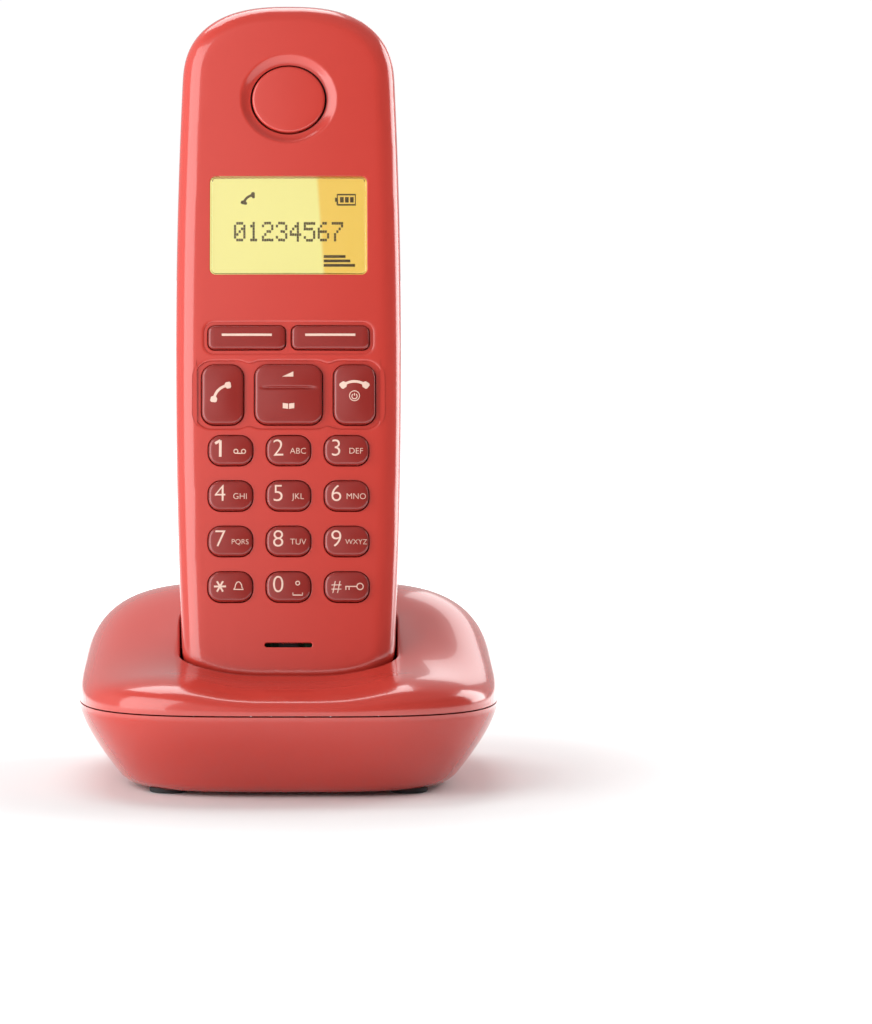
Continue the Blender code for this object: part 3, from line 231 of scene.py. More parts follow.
def lathe(bm, profile, steps, place):
    # turns (radius, height) points about local Z
    turns = [2 * pi * i / steps for i in range(steps)]
    rings = []
    for radius, height in profile:
        ring = [(radius * cos(turn), radius * sin(turn), height) for turn in turns]
        rings.append([place @ Vector(point) for point in ring])
    loft(bm, rings, True, True)


def roundedRectangle(width, height, radius, steps=8, sideSteps=1, centre=(0.0, 0.0)):
    points = []
    for corner in range(4):
        sideU = 1 if corner in (0, 3) else -1
        sideV = 1 if corner in (0, 1) else -1
        for step in range(steps + 1):
            angle = (corner + step / steps) * pi / 2
            u = centre[0] + sideU * (width / 2 - radius) + radius * cos(angle)
            v = centre[1] + sideV * (height / 2 - radius) + radius * sin(angle)
            points.append((u, v))
        nextU = 1 if corner in (3, 2) else -1
        nextV = 1 if corner in (3, 0) else -1
        angle = (corner + 1) * pi / 2
        end = (centre[0] + nextU * (width / 2 - radius) + radius * cos(angle),
               centre[1] + nextV * (height / 2 - radius) + radius * sin(angle))
        start = points[-1]
        for step in range(1, sideSteps):
            share = step / sideSteps
            points.append((start[0] + (end[0] - start[0]) * share, start[1] + (end[1] - start[1]) * share))
    return points


def ellipse(width, height, steps=72, centre=(0.0, 0.0)):
    turns = [2 * pi * i / steps for i in range(steps)]
    return [(centre[0] + width / 2 * cos(a), centre[1] + height / 2 * sin(a)) for a in turns]


def smoothStep(value):
    share = min(1.0, max(0.0, value))
    return share * share * (3 - 2 * share)


def shade(piece, angle=38.0):
    piece.data.shade_smooth()
    piece.data.set_sharp_from_angle(angle=radians(angle))


def settle(piece, body, material, nodes=(), angle=38.0):
    # last step for every piece: finish, shading, body and the CAD nodes it stands for
    if material is not None:
        piece.data.materials.clear()
        piece.data.materials.append(material)
    shade(piece, angle)
    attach(piece, body)
    if nodes:
        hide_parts(*nodes)
    return piece


def cornersIn(node, toLocal):
    points = [toLocal @ vertex.co for vertex in frame["nodes"][node].data.vertices]
    low = Vector([min(point[i] for point in points) for i in range(3)])
    high = Vector([max(point[i] for point in points) for i in range(3)])
    return low, high


def findHandsetPlace():
    lift = Vector(joints["handset_lift"]["axis"])
    turn = Matrix.Rotation(-atan2(lift.y, lift.z), 4, "X")
    low, _ = cornersIn("handset_front_shell", turn.inverted())
    return turn @ Matrix.Translation((0.0, low.y, low.z))


# the handset's own frame: x across, y from the front face inwards, z from the lower end up
handsetPlace = findHandsetPlace()
handsetInverse = handsetPlace.inverted()


def handsetBox(node):
    return cornersIn(node, handsetInverse)


def middle(corners):
    return (corners[0] + corners[1]) / 2


def span(corners):
    return corners[1] - corners[0]


def stand(piece):
    # carries a piece drawn in the handset's frame to where the handset stands
    piece.data.transform(handsetPlace)
    return piece


def blankMaterial(name):
    material = bpy.data.materials.new(name)
    material.use_nodes = True
    material.node_tree.nodes.clear()
    net = Net(material.node_tree)
    return material, net, net.add("ShaderNodeTexCoord", out="Object")


def surface(net, sockets):
    shader = net.add("ShaderNodeBsdfPrincipled", {}, sockets)
    net.add("ShaderNodeOutputMaterial", {}, {"Surface": shader})


def bumped(net, height, strength, depth):
    return net.add("ShaderNodeBump", {}, {"Strength": strength, "Distance": depth, "Height": height})


caseLook = {
    "shade": (0.490, 0.038, 0.026, 1.0),
    "tint": (0.520, 0.044, 0.031, 1.0),
    "toneScale": 45.0,
    "grainScale": 3600.0,
    "smearScale": 160.0,
    "roughness": 0.20,
    "roughnessSpread": 0.06,
    "coat": 0.50,
    "coatRoughness": 0.03,
    "bump": 0.10,
    "bumpDepth": 0.00003,
}

keyLook = dict(caseLook, shade=(0.230, 0.014, 0.010, 1.0), tint=(0.260, 0.017, 0.012, 1.0), roughness=0.24,
               coat=0.45, coatRoughness=0.06, bump=0.06)


def mouldedPlastic(name, look):
    material, net, where = blankMaterial(name)
    tone = net.noise(where, look["toneScale"], 2.0)
    grain = net.noise(where, look["grainScale"], 3.0, 0.6)
    smear = net.noise(where, look["smearScale"], 4.0, 0.55)
    roughness = look["roughness"] + (smear - 0.5) * look["roughnessSpread"] + (grain - 0.5) * 0.04
    surface(net, {
        "Base Color": net.mix(tone, look["shade"], look["tint"]),
        "Roughness": roughness,
        "Coat Weight": look["coat"],
        "Coat Roughness": look["coatRoughness"],
        "Normal": bumped(net, grain, look["bump"], look["bumpDepth"]),
    })
    return material


lcdLook = {
    "pale": (1.00, 0.93, 0.34, 1.0),
    "amber": (0.97, 0.62, 0.09, 1.0),
    "glow": 0.86,
    "reflected": 0.12,
    # where the painted reflection of the left light ends on the panel, and how soft and slanted its edge is
    "reflectionEdgeX": 0.0068,
    "reflectionEdgeSoft": 0.0005,
    "reflectionEdgeLean": 0.07,
}


def backlitPanel(name, look, panel):
    # the backlight makes the panel glow; a painted reflection of the left light makes one side paler; a fine
    # cell grid shows close up
    material, net, where = blankMaterial(name)
    apart = net.add("ShaderNodeSeparateXYZ", {}, {0: where})
    x, z = apart.out("X"), apart.out("Z")
    # painted reflection of the left light: paler on one side of a slanted soft edge across the panel
    centre = middle(panel)
    reflectionSlant = x + (z - centre.z) * look["reflectionEdgeLean"]
    reflectionShare = net.between(reflectionSlant, look["reflectionEdgeX"] - look["reflectionEdgeSoft"], look["reflectionEdgeX"] + look["reflectionEdgeSoft"])
    cells = net.maths("SINE", x * 14000.0) * net.maths("SINE", z * 14000.0)
    mottle = net.noise(where, 220.0, 3.0)
    blend = reflectionShare + (mottle - 0.5) * 0.12 + cells * 0.03
    colour = net.mix(blend, look["pale"], look["amber"])
    dim = tuple(part * look["reflected"] for part in look["pale"][:3]) + (1.0,)
    surface(net, {
        "Base Color": dim,
        "Emission Color": colour,
        "Emission Strength": look["glow"],
        "Roughness": 0.35 + (mottle - 0.5) * 0.1,
    })
    return material


def inkPrint(name, colour, roughness):
    # print or liquid crystal: flat, with slightly uneven cover
    material, net, where = blankMaterial(name)
    cover = net.noise(where, 2600.0, 2.0)
    darker = tuple(part * 0.86 for part in colour[:3]) + (1.0,)
    surface(net, {
        "Base Color": net.mix(cover, darker, colour),
        "Roughness": roughness + (cover - 0.5) * 0.12,
        "Normal": bumped(net, cover, 0.10, 0.00001),
    })
    return material


def clearWindow(name):
    material, net, where = blankMaterial(name)
    haze = net.noise(where, 90.0, 3.0)
    surface(net, {
        "Base Color": (1.0, 0.985, 0.95, 1.0),
        "Roughness": 0.03 + haze * 0.03,
        "IOR": 1.49,
        "Transmission Weight": 1.0,
    })
    return material


def metal(name, look):
    # drawn or pressed metal: fine lines one way, duller patches where it has been handled
    material, net, where = blankMaterial(name)
    stretched = net.add("ShaderNodeMapping", {}, {"Vector": where, "Scale": look["stretch"]})
    lines = net.noise(stretched, 900.0, 3.0)
    patches = net.noise(where, 420.0, 3.0, 0.6)
    surface(net, {
        "Base Color": net.mix(patches, look["dull"], look["bright"]),
        "Metallic": 1.0,
        "Roughness": look["roughness"] + (patches - 0.5) * 0.22,
        "Normal": bumped(net, lines, 0.18, 0.00002),
    })
    return material


steelLook = {
    "dull": (0.44, 0.45, 0.47, 1.0), "bright": (0.66, 0.67, 0.69, 1.0), "roughness": 0.30,
    "stretch": (1.0, 1.0, 6.0),
}
goldLook = {
    "dull": (0.62, 0.42, 0.16, 1.0), "bright": (0.90, 0.68, 0.32, 1.0), "roughness": 0.26,
    "stretch": (5.0, 1.0, 1.0),
}


def darkMoulding(name, colour, roughness, grainScale, bump):
    # rubber, speaker cloth and socket plastic: near black, matt, with a visible grain
    material, net, where = blankMaterial(name)
    grain = net.noise(where, grainScale, 4.0, 0.65)
    patches = net.noise(where, 150.0, 2.0)
    lighter = tuple(part * 1.8 + 0.006 for part in colour[:3]) + (1.0,)
    surface(net, {
        "Base Color": net.mix(patches, colour, lighter),
        "Roughness": roughness + (grain - 0.5) * 0.2,
        "Normal": bumped(net, grain, bump, 0.00006),
    })
    return material


def circuitBoard(name):
    # green mask over copper tracks, with tinned pads in rows
    material, net, where = blankMaterial(name)
    cells = net.add("ShaderNodeTexBrick", {"offset": 0.5}, {
        "Vector": where, "Color1": (0.008, 0.085, 0.030, 1.0), "Color2": (0.012, 0.115, 0.042, 1.0),
        "Mortar": (0.030, 0.200, 0.070, 1.0), "Scale": 140.0, "Mortar Size": 0.035,
    })
    dots = net.add("ShaderNodeTexVoronoi", {}, {"Vector": where, "Scale": 420.0})
    pad = net.between(dots, 0.24, 0.18)
    surface(net, {
        "Base Color": net.mix(pad, cells, (0.70, 0.66, 0.58, 1.0)),
        "Metallic": pad,
        "Roughness": 0.42 - pad * 0.12,
        "Normal": bumped(net, pad, 0.3, 0.00005),
    })
    return material


def filmSheet(name, colour, domeScale):
    # rubber mat or polyester film, dimpled where its domes are
    material, net, where = blankMaterial(name)
    domes = net.add("ShaderNodeTexVoronoi", {"feature": "SMOOTH_F1"}, {"Vector": where, "Scale": domeScale})
    grain = net.noise(where, 1800.0, 3.0)
    darker = tuple(part * 0.75 for part in colour[:3]) + (1.0,)
    surface(net, {
        "Base Color": net.mix(domes, colour, darker),
        "Roughness": 0.5 + (grain - 0.5) * 0.2,
        "Normal": bumped(net, domes + grain * 0.1, 0.2, 0.0002),
    })
    return material


cellLook = {
    "sleeve": (0.016, 0.105, 0.052, 1.0),
    "band": (0.78, 0.76, 0.70, 1.0),
    "bandWidth": 0.0052,
    "bandAt": 0.0105,
}


def cellSleeve(name, look, cells):
    # shrink sleeve with one pale band, measured along the handset from the middle of the cells
    material, net, where = blankMaterial(name)
    centre = handsetPlace @ middle(cells)
    settings = {"operation": "DOT_PRODUCT"}
    along = (handsetPlace.to_3x3() @ Vector((0.0, 0.0, 1.0))).normalized()
    height = net.add("ShaderNodeVectorMath", settings, {0: where, 1: along}, "Value") - centre.dot(along)
    off = net.maths("ABSOLUTE", height - look["bandAt"])
    band = net.between(off, look["bandWidth"] / 2 + 0.0001, look["bandWidth"] / 2 - 0.0001)
    wrinkle = net.noise(where, 700.0, 3.0)
    surface(net, {
        "Base Color": net.mix(band, look["sleeve"], look["band"]),
        "Roughness": 0.30 + (wrinkle - 0.5) * 0.16,
        "Coat Weight": 0.4,
        "Normal": bumped(net, wrinkle, 0.15, 0.00005),
    })
    return material


stageFinish = {
    "pale": (0.81, 0.81, 0.81, 1.0),
    "paler": (0.83, 0.83, 0.83, 1.0),
    "glowStart": 0.060,
    "glowEnd": 0.20,
}


def paleStage(name, look):
    # pale floor that gives way to white light some way from the telephone
    material, net, where = blankMaterial(name)
    speck = net.noise(where, 30.0, 2.0)
    far = net.add("ShaderNodeVectorMath", {"operation": "LENGTH"}, {0: where}, "Value")
    reached = net.between(far, look["glowStart"], look["glowEnd"])
    glow = net.mix(reached, (0.0, 0.0, 0.0, 1.0), (1.0, 1.0, 1.0, 1.0))
    surface(net, {
        "Base Color": net.mix(speck, look["pale"], look["paler"]),
        "Roughness": 0.75 + (speck - 0.5) * 0.1,
        "Specular IOR Level": 0.2,
        "Emission Color": glow,
        "Emission Strength": 1.0,
    })
    return material


caseRed = mouldedPlastic("caseRed", caseLook)
keyRed = mouldedPlastic("keyRed", keyLook)
windowClear = clearWindow("windowClear")
lcdGlow = backlitPanel("lcdGlow", lcdLook, cornersIn("lcd_panel", Matrix.Identity(4)))
lcdInk = inkPrint("lcdInk", (0.120, 0.080, 0.020, 1.0), 0.5)
printCream = inkPrint("printCream", (0.80, 0.56, 0.46, 1.0), 0.45)
steel = metal("steel", steelLook)
gold = metal("gold", goldLook)
rubber = darkMoulding("rubber", (0.014, 0.014, 0.015, 1.0), 0.78, 2400.0, 0.35)
speakerBlack = darkMoulding("speakerBlack", (0.012, 0.012, 0.013, 1.0), 0.55, 3000.0, 0.5)
socketBlack = darkMoulding("socketBlack", (0.020, 0.020, 0.022, 1.0), 0.48, 3400.0, 0.25)
boardGreen = circuitBoard("boardGreen")
siliconeGrey = filmSheet("siliconeGrey", (0.28, 0.28, 0.29, 1.0), 95.0)
polyesterFilm = filmSheet("polyesterFilm", (0.52, 0.58, 0.60, 1.0), 95.0)
lightGuide = filmSheet("lightGuide", (0.88, 0.88, 0.84, 1.0), 500.0)
sleeveGreen = cellSleeve("sleeveGreen", cellLook, handsetBox("battery_left"))
print("finishes made")


frontBox = handsetBox("handset_front_shell")
rearBox = handsetBox("handset_rear_shell")

caseShape = {
    "gap": 0.0003,
    "length": frontBox[1].z,
    "halfWidth": frontBox[1].x,
    "depth": rearBox[1].y,
    "jointFront": frontBox[1].y,
    "jointBack": rearBox[0].y,
    "wall": 0.0018,
    "sideBulge": 0.085,
    "topCurve": 0.0165,
    "topPower": 2.55,
    "bottomCurve": 0.0095,
    "bottomPower": 3.1,
    "frontEdge": 0.0045,
    "backEdge": 0.0080,
    "crown": 0.00055,
    "endSteps": 26,
    "sideSteps": 34,
    "edgeSteps": 12,
}


def halfWidthAt(z, inset):
    waist = caseShape["length"] / 2
    bulge = 1.0 - caseShape["sideBulge"] * ((z - waist) / waist) ** 2
    return caseShape["halfWidth"] * bulge - inset


def caseOutline(inset=0.0):
    # the case seen from the front, anticlockwise from the bottom, drawn in evenly by inset
    shape = caseShape
    topHeight = shape["topCurve"] - inset
    bottomHeight = shape["bottomCurve"] - inset
    topZ = shape["length"] - shape["topCurve"]
    bottomZ = shape["bottomCurve"]
    right = []
    for i in range(shape["endSteps"]):
        angle = pi / 2 * i / shape["endSteps"]
        power = 2 / shape["bottomPower"]
        z = bottomZ - bottomHeight * cos(angle) ** power
        right.append((halfWidthAt(z, inset) * sin(angle) ** power, z))
    for i in range(shape["sideSteps"]):
        z = bottomZ + (topZ - bottomZ) * i / shape["sideSteps"]
        right.append((halfWidthAt(z, inset), z))
    for i in range(shape["endSteps"] + 1):
        angle = pi / 2 * i / shape["endSteps"]
        power = 2 / shape["topPower"]
        z = topZ + topHeight * sin(angle) ** power
        right.append((halfWidthAt(z, inset) * max(0.0, cos(angle)) ** power, z))
    left = [(-x, z) for x, z in reversed(right[1:-1])]
    return right + left


def caseRings(jointY, faceY, edge, startInset=0.0):
    # from the joint line to the rounded edge and up to the flat face
    inward = 1 if faceY < jointY else -1
    rings = [[(x, jointY, z) for x, z in caseOutline(startInset)]]
    for step in range(caseShape["edgeSteps"] + 1):
        angle = pi / 2 * step / caseShape["edgeSteps"]
        inset = startInset + edge * (1 - cos(angle))
        y = faceY + inward * edge * (1 - sin(angle))
        rings.append([(x, y, z) for x, z in caseOutline(inset)])
    return rings


def crownDrop(x, y):
    # the front face falls away a little towards its sides; nothing moves at the joint line
    fade = max(0.0, 1 - max(0.0, y) / caseShape["jointFront"])
    return caseShape["crown"] * (x / caseShape["halfWidth"]) ** 2 * fade


def crownMesh(piece, stripWidth=None):
    # bends a flat piece to the crown, cut into upright strips first where it has large flat faces
    bm = bmesh.new()
    bm.from_mesh(piece.data)
    if stripWidth:
        bmesh.ops.triangulate(bm, faces=bm.faces)
        strips = int(caseShape["halfWidth"] / stripWidth)
        for i in range(-strips, strips + 1):
            everything = bm.verts[:] + bm.edges[:] + bm.faces[:]
            where = (i * stripWidth, 0.0, 0.0)
            bmesh.ops.bisect_plane(bm, geom=everything, dist=1e-7, plane_co=where, plane_no=(1, 0, 0))
    for vertex in bm.verts:
        vertex.co.y += crownDrop(vertex.co.x, vertex.co.y)
    bm.to_mesh(piece.data)
    bm.free()
    return piece


# openings in the front face, each with a softly rounded mouth
faceShape = {
    "keyGap": 0.00017,
    "lip": 0.00012,
    "rimLip": 0.00062,
    "guard": 0.0001,
    "lipSteps": 4,
    "recessDepth": 0.00040,
    "recessRimX": 0.00135,
    "recessRimZ": 0.00085,
    "recessWaist": 0.0006,
    "recessWaistWidth": 0.0013,
    "softRimGrow": 0.0009,
    "softRimDepth": 0.00022,
    "ringSlope": 0.0021,
    "ringDepth": 0.00105,
    "ringGap": 0.0004,
    "micWidth": 0.0099,
    "micHeight": 0.0010,
    "keyCorner": 0.0026,
    "softCorner": 0.0013,
    "windowCorner": 0.0012,
    "stripWidth": 0.0013,
}

digitKeys = ["key_1", "key_2", "key_3", "key_4", "key_5", "key_6", "key_7", "key_8", "key_9",
             "key_star", "key_0", "key_hash"]
softKeys = ["softkey_left", "softkey_right"]
functionKeys = ["talk_key", "navigation_key", "end_key"]


def keyHole(name, grow):
    box = handsetBox(name)
    size = span(box)
    corner = faceShape["softCorner"] if name in softKeys else faceShape["keyCorner"]
    return roundedRectangle(size.x + 2 * grow, size.z + 2 * grow, corner + grow, 8, 2,
                            (middle(box).x, middle(box).z))


def recessOutline(grow):
    # one outline round the three function keys, drawn in between them
    boxes = [handsetBox(name) for name in functionKeys]
    low = Vector([min(box[0][i] for box in boxes) for i in range(3)])
    high = Vector([max(box[1][i] for box in boxes) for i in range(3)])
    between = (boxes[2][0].x + boxes[1][1].x) / 2
    rimX, rimZ = faceShape["recessRimX"] + grow, faceShape["recessRimZ"] + grow
    centre = (low + high) / 2
    outline = roundedRectangle(high.x - low.x + 2 * rimX, high.z - low.z + 2 * rimZ,
                               faceShape["keyCorner"] + rimZ, 10, 44, (centre.x, centre.z))
    points = []
    for x, z in outline:
        dip = faceShape["recessWaist"] * exp(-((abs(x) - between) / faceShape["recessWaistWidth"]) ** 2)
        half = high.z - centre.z + rimZ
        share = (z - centre.z) / half
        points.append((x, centre.z + (half - dip) * share))
    return points


def softRimOutline(grow):
    boxes = [handsetBox(name) for name in softKeys]
    rim = faceShape["softRimGrow"] + grow
    size = Vector((boxes[1][1].x - boxes[0][0].x, 0.0, span(boxes[0]).z))
    return roundedRectangle(size.x + 2 * rim, size.z + 2 * rim, faceShape["softCorner"] + rim, 8, 30,
                            (0.0, middle(boxes[0]).z))


def mouth(bm, outline, top, bottom, lip=None, drop=None):
    # a rounded lip from a face at depth top, then a straight wall down to bottom; gives the two end loops
    lip = lip or faceShape["lip"]
    drop = drop or lip
    rings = [[(x, top, z) for x, z in outline(lip + faceShape["guard"])]]
    for step in range(faceShape["lipSteps"] + 1):
        angle = pi / 2 * step / faceShape["lipSteps"]
        rings.append([(x, top + drop * (1 - cos(angle)), z) for x, z in outline(lip * (1 - sin(angle)))])
    rings.append([(x, bottom, z) for x, z in outline(0.0)])
    rows = loft(bm, rings)
    return rows[0], rows[-1]


def buildFrontShell():
    shape, face = caseShape, faceShape
    wall, gap = shape["wall"], shape["gap"]
    bm = bmesh.new()
    outer = loft(bm, caseRings(shape["jointFront"], 0.0, shape["frontEdge"]))
    inner = loft(bm, caseRings(shape["jointFront"], wall, shape["frontEdge"] - wall, wall))
    count = len(outer[0])
    for i in range(count):
        j = (i + 1) % count
        bm.faces.new((outer[0][j], outer[0][i], inner[0][i], inner[0][j]))

    faceLoops, backLoops = [outer[-1]], [inner[-1]]
    window = handsetBox("display_window")
    size = span(window)

    def windowHole(grow):
        reach = 2 * (gap + grow)
        return roundedRectangle(size.x + reach, size.z + reach, face["windowCorner"] + grow, 6, 1,
                                (0.0, middle(window).z))

    def micHole(grow):
        width, height = face["micWidth"], face["micHeight"]
        return roundedRectangle(width + 2 * grow, height + 2 * grow, height * 0.45 + grow, 6, 1,
                                (0.0, middle(handsetBox("microphone")).z))

    plain = [windowHole, micHole]
    for name in digitKeys:
        plain.append(lambda grow, name=name: keyHole(name, grow + face["keyGap"]))
    for outline in plain:
        top, bottom = mouth(bm, outline, 0.0, wall)
        faceLoops.append(top)
        backLoops.append(bottom)

    for outline, depth, names in ((recessOutline, face["recessDepth"], functionKeys),
                                  (softRimOutline, face["softRimDepth"], softKeys)):
        top, floorLoop = mouth(bm, outline, 0.0, depth, face["rimLip"], depth * 0.92)
        faceLoops.append(top)
        floorLoops = [floorLoop]
        for name in names:
            keyTop, keyBottom = mouth(bm, lambda grow, name=name: keyHole(name, grow + face["keyGap"]), depth,
                                      wall)
            floorLoops.append(keyTop)
            backLoops.append(keyBottom)
        fillBetween(bm, *floorLoops)

    disc = handsetBox("earpiece_disc")
    discSize, discZ = span(disc), middle(disc).z
    reach = 2 * (face["ringSlope"] + face["ringGap"] + 3 * face["guard"])
    rings = [[(x, 0.0, z) for x, z in ellipse(discSize.x + reach, discSize.z + reach, 96, (0.0, discZ))]]
    for step in range(9):
        share = step / 8
        grow = face["ringSlope"] * (1 - share) + face["ringGap"]
        depth = face["ringDepth"] * sin(share * pi / 2) ** 1.3
        rings.append([(x, depth, z) for x, z in
                      ellipse(discSize.x + 2 * grow, discSize.z + 2 * grow, 96, (0.0, discZ))])
    rings.append([(x, wall, z) for x, _, z in rings[-1]])
    rows = loft(bm, rings)
    faceLoops.append(rows[0])
    backLoops.append(rows[-1])

    fillBetween(bm, *faceLoops)
    fillBetween(bm, *backLoops)
    shell = crownMesh(fromBmesh("frontShell", bm), face["stripWidth"])
    return settle(stand(shell), "handset", caseRed, ["handset_front_shell"], 32.0)


def faceCut(name, outline, front, back):
    bm = bmesh.new()
    loft(bm, [[(x, y, z) for x, z in outline] for y in (front, back)], True, True)
    return fromBmesh(name, bm)


# back of the handset: tray, bay, door and ringer slots
doorHinge = handsetInverse @ Vector(joints["battery_door_tip"]["pos_m"])
doorBox = handsetBox("battery_door")

backShape = {
    "bayWall": 0.0014,
    "ledge": 0.0010,
    "doorCorner": 0.0030,
    "innerY": caseShape["depth"] - caseShape["wall"],
    "bayFloorY": caseShape["jointBack"] + 0.0011,
    "tabWidth": 0.0050,
    "tabOffset": 0.0090,
    "tabThickness": 0.0013,
    "tabReach": 0.0016,
    "slotWidth": 0.0120,
    "slotHeight": 0.0011,
    "slotPitch": 0.0028,
    "slotCount": 3,
    "ridgeCount": 7,
    "ridgePitch": 0.0016,
    "ridgeLength": 0.0150,
    "ridgeWidth": 0.0008,
    "ridgeHeight": 0.00035,
}


def doorPlace():
    gap = caseShape["gap"]
    low = doorHinge.z - gap
    high = doorBox[1].z + gap
    return doorBox[1].x + gap, low, high


def doorOutline(inset):
    half, low, high = doorPlace()
    return roundedRectangle(2 * (half - inset), high - low - 2 * inset, backShape["doorCorner"] - inset, 8, 1,
                            (0.0, (low + high) / 2))


def backSkin(name):
    bm = bmesh.new()
    rings = caseRings(caseShape["jointBack"], caseShape["depth"], caseShape["backEdge"])
    loft(bm, rings, closeLast=True)
    return thicken(fromBmesh(name, bm), caseShape["wall"])


def buildRearShell():
    gap, wall, back = caseShape["gap"], caseShape["wall"], backShape
    half, low, high = doorPlace()
    centre = (0.0, (low + high) / 2)
    shell = backSkin("rearShell")

    height = high - low
    outline = roundedRectangle(2 * (half + back["bayWall"]), height + 2 * back["bayWall"], 0.003, 6, 1,
                               centre)
    tray = faceCut("tray", outline, caseShape["jointBack"] + gap / 2, back["innerY"] + wall * 0.1)
    cut(shell, "UNION", tray)

    ledge = back["ledge"]
    bay = roundedRectangle(2 * (half - ledge), height - 2 * ledge, 0.001, 4, 1, centre)
    tools = [faceCut("bay", bay, back["bayFloorY"], back["innerY"]),
             faceCut("opening", doorOutline(0.0), back["innerY"] - gap, caseShape["depth"] + wall)]
    ringerZ = middle(handsetBox("ringer_speaker")).z
    for row in range(back["slotCount"]):
        z = ringerZ + (row - (back["slotCount"] - 1) / 2) * back["slotPitch"]
        width = back["slotWidth"] * (0.7 if row != 1 else 1.0)
        slot = roundedRectangle(width, back["slotHeight"], back["slotHeight"] * 0.48, 6, 1, (0.0, z))
        tools.append(faceCut("slot", slot, caseShape["depth"] - 1.5 * wall, caseShape["depth"] + wall))
    for side in (-1, 1):
        x = side * back["tabOffset"]
        reach = back["tabWidth"] + 2 * gap
        outline = roundedRectangle(reach, 3 * back["bayWall"] + 2 * ledge, 0.0003, 2, 1,
                                   (x, low - 0.6 * ledge))
        tools.append(faceCut("tabHole", outline, back["innerY"] - back["tabThickness"] - 4 * gap,
                             back["innerY"] - gap * 1.2))
    for name in ("handset_screw_left", "handset_screw_right"):
        place = middle(handsetBox(name))
        hole = ellipse(0.0030, 0.0030, 32, (place.x, place.z))
        tools.append(faceCut("screwHole", hole, caseShape["jointBack"] - gap, back["bayFloorY"] + gap))
    for name in ("charge_strip_left", "charge_strip_right"):
        box = handsetBox(name)
        size, place = span(box), middle(box)
        bm = bmesh.new()
        outline = roundedRectangle(size.x + 2 * gap, size.y + 2 * gap, 0.0006, 4, 1, (place.x, place.y))
        loft(bm, [[(x, y, z) for x, y in outline] for z in (-wall, 3 * wall)], True, True)
        tools.append(fromBmesh("stripHole", bm))
    cut(shell, "DIFFERENCE", *tools)
    return settle(stand(shell), "handset", caseRed, ["handset_rear_shell"])


def ridgeTree():
    # a row of half-round grip ridges
    net, given = geometryTree("gripRidges", {
        "Count": "Int", "Pitch": "Float", "Length": "Float", "Width": "Float", "Height": "Float",
        "Finish": "Material",
    })
    line = net.add("GeometryNodeMeshLine", {"mode": "OFFSET", "count_mode": "TOTAL"}, {
        "Count": given["Count"], "Offset": vectorOf(net, z=given["Pitch"]),
    })
    ball = net.add("GeometryNodeMeshUVSphere", {}, {"Segments": 24, "Rings": 12, "Radius": 0.5})
    where = net.add("GeometryNodeInputPosition")
    apart = net.add("ShaderNodeSeparateXYZ", {}, {0: where})
    # the ball's ends are pushed out to make a long bar with round ends
    side = net.maths("SIGN", apart.out("X"))
    bar = vectorOf(net, apart.out("X") * given["Width"] + side * (given["Length"] - given["Width"]) * 0.5,
                   apart.out("Y") * given["Height"] * 2.0, apart.out("Z") * given["Width"])
    shaped = net.add("GeometryNodeSetPosition", {}, {"Geometry": ball, "Position": bar})
    rows = net.add("GeometryNodeInstanceOnPoints", {}, {"Points": line, "Instance": shaped})
    closeTree(net, rows, given["Finish"])
    return net.tree


def joined(name, *pieces):
    # several plain meshes as one piece
    bm = bmesh.new()
    for piece in pieces:
        bm.from_mesh(piece.data)
        bpy.data.objects.remove(piece)
    mesh = bpy.data.meshes.new(name)
    bm.to_mesh(mesh)
    bm.free()
    return linked(name, mesh)


def buildBatteryDoor():
    gap, wall, back = caseShape["gap"], caseShape["wall"], backShape
    _, low, high = doorPlace()
    door = backSkin("doorPanel")
    blank = faceCut("blank", doorOutline(gap), back["innerY"] + gap / 6, caseShape["depth"] + wall)
    cut(door, "INTERSECT", blank)

    tabs = bmesh.new()
    for side in (-1, 1):
        x = side * back["tabOffset"]
        left, right = x - back["tabWidth"] / 2, x + back["tabWidth"] / 2
        outer = back["innerY"] - 2 * gap
        inner = outer - back["tabThickness"]
        root = low + back["ledge"] + 4 * gap
        tip = low - back["tabReach"]
        sunk = back["innerY"] + 0.3 * wall
        profile = ((inner, tip + 0.0003), (inner + 0.0003, tip), (outer - 0.0003, tip), (outer, tip + 0.0003),
                   (outer, root - 2 * gap), (sunk, root - 2 * gap), (sunk, root + back["tabThickness"]),
                   (inner, root + back["tabThickness"]))
        loft(tabs, [[(px, y, z) for y, z in profile] for px in (left, right)], True, True)
    cut(door, "UNION", fromBmesh("tabs", tabs))

    ridges = growTree(ridgeTree(), "ridges", {
        "Count": back["ridgeCount"], "Pitch": back["ridgePitch"], "Length": back["ridgeLength"],
        "Width": back["ridgeWidth"], "Height": back["ridgeHeight"], "Finish": caseRed,
    })
    top = high - 0.0070 - (back["ridgeCount"] - 1) * back["ridgePitch"]
    ridges.data.transform(Matrix.Translation((0.0, caseShape["depth"], top)))
    door = joined("batteryDoor", door, ridges)
    return settle(stand(door), "battery_door", caseRed, ["battery_door"])


buildFrontShell()
print("front shell made")
buildRearShell()
buildBatteryDoor()
print("back of the handset made")


# keys, with the print on them
keyShape = {
    "edge": 0.00055,
    "edgeSteps": 5,
    "digitDome": 0.00026,
    "functionDome": 0.00034,
    "softDome": 0.00012,
    "domeRings": 9,
    "printLift": 0.000022,
    "printThickness": 0.00004,
    "grooveDepth": 0.00042,
    "grooveHeight": 0.00030,
    "grooveUp": 0.0013,
    "printStep": 0.00045,
}


def domeOf(name):
    if name in softKeys:
        return keyShape["softDome"]
    return keyShape["functionDome"] if name in functionKeys else keyShape["digitDome"]


